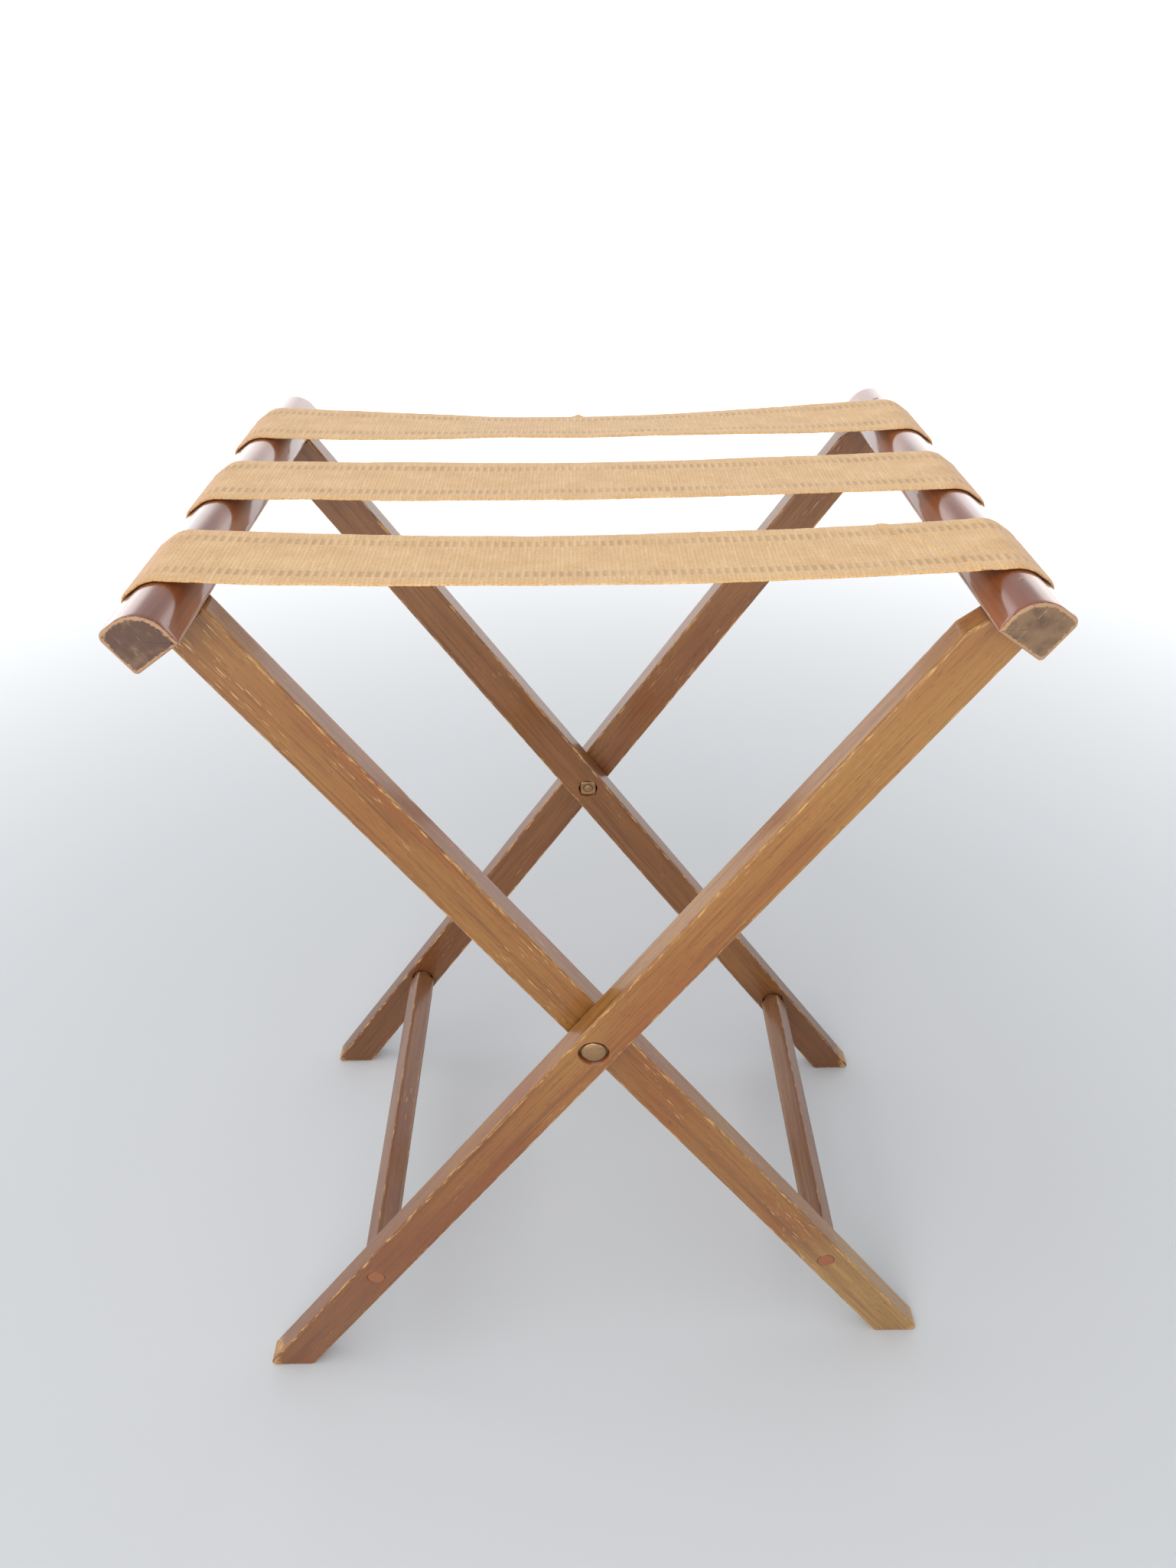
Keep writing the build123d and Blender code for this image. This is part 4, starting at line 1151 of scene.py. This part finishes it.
def jute_webbing():
    """Weave: sine along u of twice the weft pitch times sine across v of the warp pitch, so
    crowns and gaps alternate like a draughtboard, plus 0.45 x a sine of the weft pitch."""
    material, tree, surface = new_material("jute_webbing")
    lengths = add(tree, "UVMap", {"uv_map": "across_and_along"}).outputs[0]
    across, along = add(tree, "SeparateXYZ", links={0: lengths}).outputs[:2]

    def sine(output, pitch):
        turned = add(tree, "Math", {"operation": "MULTIPLY", 1: 2 * math.pi / (pitch * MM)},
                     {0: output}).outputs[0]
        return add(tree, "Math", {"operation": "SINE"}, {0: turned}).outputs[0]

    board = add(tree, "Math", {"operation": "MULTIPLY"},
                {0: sine(along, 2 * WEFT_PITCH), 1: sine(across, WARP_PITCH)})
    weave = add(tree, "Math", {"operation": "MULTIPLY_ADD", 1: 0.45},
                {0: sine(along, WEFT_PITCH), 2: board.outputs[0]}).outputs[0]
    yarn = cells(tree, lengths, (1.1, 3.5, 1), Detail=3.0, Roughness=0.7)
    fuzz = cells(tree, lengths, (0.9, 0.8, 1), Detail=4.0, Roughness=0.8)
    stray = cells(tree, lengths, (0.35, 2.6, 1), Detail=1.0, Distortion=1.5)
    bars = add(tree, "Attribute", {"attribute_name": "bars"}).outputs["Fac"]
    bend = add(tree, "Attribute", {"attribute_name": "bend"}).outputs["Fac"]
    colour = add(tree, "ValToRGB", {"stops": [(p, hex_colour(tone)) for p, tone in JUTE]},
                 {0: cells(tree, lengths, (13, 22, 1), Detail=3.0)}).outputs[0]
    colour = lay(tree, DARK_YARN, (0.5, 0.72, 0, 0.42), yarn, colour)
    colour = lay(tree, PALE_WEFT, (0.5, 0.7, 0, 0.3),
                 cells(tree, lengths, (16, 1.9, 1), Detail=1.0), colour)
    # Painted shade in the gaps between the yarns, where the weave is low.
    colour = lay(tree, WEAVE_GAP_SHADE, (-0.2, -1.1, 0, 0.3), weave, colour)
    colour = lay(tree, BAR, (0.05, 0.9, 0, 0.5), bars, colour)
    # Browner where the strap bends over the rail: partly grime, partly painted shade.
    colour = lay(tree, BEND_GRIME_AND_SHADE, (0, 1, 0, 0.45), bend, colour, blend_type="MULTIPLY")
    colour = lay(tree, FUZZ, (0.5, 0.68, 0, 0.5), fuzz, colour)
    colour = lay(tree, LIGHT_FIBRE, (0.7, 0.78, 0, 0.5), stray, colour)
    colour = lay(tree, DARK_FIBRE, (0.3, 0.22, 0, 0.5), stray, colour)
    tree.links.new(colour, surface.inputs["Base Color"])
    surface.inputs["Roughness"].default_value = 0.92
    surface.inputs["Specular IOR Level"].default_value = 0.2
    surface.inputs["Sheen Weight"].default_value = 0.25
    surface.inputs["Sheen Roughness"].default_value = 0.6
    height = add(tree, "Math", {"operation": "MULTIPLY_ADD", 1: 0.8}, {0: fuzz, 2: weave})
    bump = add(tree, "Bump", {"Strength": 0.42, "Distance": 0.16 * MM},
               {"Height": height.outputs[0]})
    tree.links.new(bump.outputs[0], surface.inputs["Normal"])
    return material


webbing = jute_webbing()
for piece in halves:
    piece.data.materials.append(webbing)

# %% [markdown]
# The fittings are plain steel, plated once and now dull. Years of shellac and hand grease give
# them a brown bloom, so the metal shows through in patches and keeps a soft shine.
# Tacks are brass-plated and antiqued: bright and dark brass in blotches.

# %% Tarnished metals
def tarnished(name, clean, bloom, seed, roughness=0.3):
    """Metal whose colour and roughness follow one blotchy noise, with fine scratches as relief."""
    material, tree, surface = new_material(name)
    coordinates = add(tree, "TexCoord").outputs["Object"]
    placed = add(tree, "Mapping", {"Location": (seed, seed, seed), "Scale": per_mm(3.2, 3.2, 3.2)},
                 {"Vector": coordinates}).outputs[0]
    patches = add(tree, "TexNoise", {"Scale": 1.0, "Detail": 4.0, "Roughness": 0.65},
                  {"Vector": placed}).outputs[0]
    share = add(tree, "MapRange", span(0.35, 0.75), {"Value": patches}).outputs[0]
    colour = add(tree, "Mix", {"data_type": "RGBA", 6: hex_colour(clean), 7: hex_colour(bloom)},
                 {0: share}).outputs[2]
    tree.links.new(colour, surface.inputs["Base Color"])
    follow(tree, surface.inputs["Metallic"], (0.4, 0.62, 1.0, 0.55), patches)
    follow(tree, surface.inputs["Roughness"], (0.35, 0.65, roughness, roughness + 0.25), patches)
    scratches = cells(tree, coordinates, (0.4, 0.4, 4), Detail=2.0)
    bump = add(tree, "Bump", {"Strength": 0.15, "Distance": 0.1 * MM}, {"Height": scratches})
    tree.links.new(bump.outputs[0], surface.inputs["Normal"])
    return material


plated_steel = tarnished("tarnished_plated_steel", "#A88860", "#806248", 0.3)
antiqued_brass = tarnished("antiqued_brass", "#A9853F", "#4A3418", 2.1)
for piece in fittings + nails:
    piece.data.materials.append(plated_steel)
for piece in tacks:
    piece.data.materials.append(antiqued_brass)

# %% [markdown]
# The rack stands on a plain pale floor under soft studio light; the floor is painted with a glow
# that brightens it into the distance.
# A very wide soft light comes from overhead and a weaker one stands at the front. The
# surroundings are bright near the horizon, brightest behind the rack, and darker above, as in a
# pale room, and the varnish mirrors that edge.

# %% Floor
FLOOR_HALF, FLOOR_DROP = 60.0, 0.0003
floor_mesh = bpy.data.meshes.new("floor")
floor_mesh.from_pydata([(x * FLOOR_HALF, y * FLOOR_HALF, -FLOOR_DROP)
                        for x, y in ((-1, -1), (1, -1), (1, 1), (-1, 1))], [], [(0, 1, 2, 3)])
floor = bpy.data.objects.new("floor", floor_mesh)
bpy.context.scene.collection.objects.link(floor)
floor_material, tree, surface = new_material("pale_floor")
surface.inputs["Base Color"].default_value = hex_colour("#C6C8CA")
surface.inputs["Roughness"].default_value = 0.85
# Painted glow: the floor emits more light the farther it lies from the rack.
surface.inputs["Emission Color"].default_value = hex_colour("#FFFFFF")
distance = add(tree, "VectorMath", {"operation": "LENGTH"},
               {0: add(tree, "TexCoord").outputs["Object"]}).outputs["Value"]
follow(tree, surface.inputs["Emission Strength"], (0.35, 2.4, 0, 0.9), distance)
floor.data.materials.append(floor_material)

# %% Surroundings
world = bpy.data.worlds.new("pale_room")
bpy.context.scene.world = world
world.use_nodes = True
tree = world.node_tree
tree.nodes.clear()
direction = add(tree, "TexCoord").outputs["Generated"]
parts = add(tree, "SeparateXYZ", links={0: direction})
sky = add(tree, "ValToRGB", {"stops": [
    (0.0, hex_colour("#FFFFFF")), (0.34, hex_colour("#F8FAFC")), (0.44, hex_colour("#8C8E92"))]},
    {0: parts.outputs[2]}).outputs[0]
back_wall = add(tree, "MapRange", span(-0.1, 0.5, 1.0, 2.1), {"Value": parts.outputs[1]})
background = add(tree, "Background", {}, {"Color": sky, "Strength": back_wall.outputs[0]})
add(tree, "OutputWorld", links={0: background.outputs[0]})

# %% Lamps
def lamp(name, light, position, turned):
    """Puts a light in the room, turned by three angles from straight down."""
    made = bpy.data.objects.new(name, light)
    bpy.context.scene.collection.objects.link(made)
    made.location, made.rotation_euler = position, turned


def facing(position, target):
    """Angles that turn a light from straight down towards the target."""
    way = np.array(target, float) - position
    return (math.atan2(math.hypot(way[0], way[1]), -way[2]), 0,
            math.atan2(way[1], way[0]) - math.pi / 2)


sun = bpy.data.lights.new("skylight", "SUN")
sun.energy, sun.angle = 1.5, math.radians(60)
lamp("skylight", sun, (0, 0, 0), (math.radians(12), math.radians(-16), 0))
fill = bpy.data.lights.new("front_fill", "AREA")
fill.size, fill.energy = 1.6, 30
FILL_AT = (-0.7, -2.4, 1.3)
lamp("front_fill", fill, FILL_AT, facing(FILL_AT, (0, 0, 0.3)))

# %% [markdown]
# The camera looks down at the rack from the front, as someone standing over it would.
# Its axes are worked out from the heading, the tilt and the small roll of the hand.

# %% Camera
CAMERA_AT = (-0.0032, -0.5822, 0.7566)
HEADING, TILT, ROLL = (math.radians(angle) for angle in (0.262, -33.498, -0.744))
LENS = 26.58
ahead = np.array([math.sin(HEADING) * math.cos(TILT), math.cos(HEADING) * math.cos(TILT),
                  math.sin(TILT)])
level = np.array([math.cos(HEADING), -math.sin(HEADING), 0])
upward = np.cross(level, ahead)
right_way = math.cos(ROLL) * level + math.sin(ROLL) * upward
up_way = math.cos(ROLL) * upward - math.sin(ROLL) * level
lens = bpy.data.cameras.new("camera")
lens.lens, lens.clip_start, lens.clip_end = LENS, 0.02, 200
camera = bpy.data.objects.new("camera", lens)
bpy.context.scene.collection.objects.link(camera)
pose = np.eye(4)
pose[:3, 0], pose[:3, 1], pose[:3, 2], pose[:3, 3] = right_way, up_way, -ahead, CAMERA_AT
camera.matrix_world = Matrix(pose.tolist())
bpy.context.scene.camera = camera
bpy.context.scene.view_settings.view_transform = "Standard"
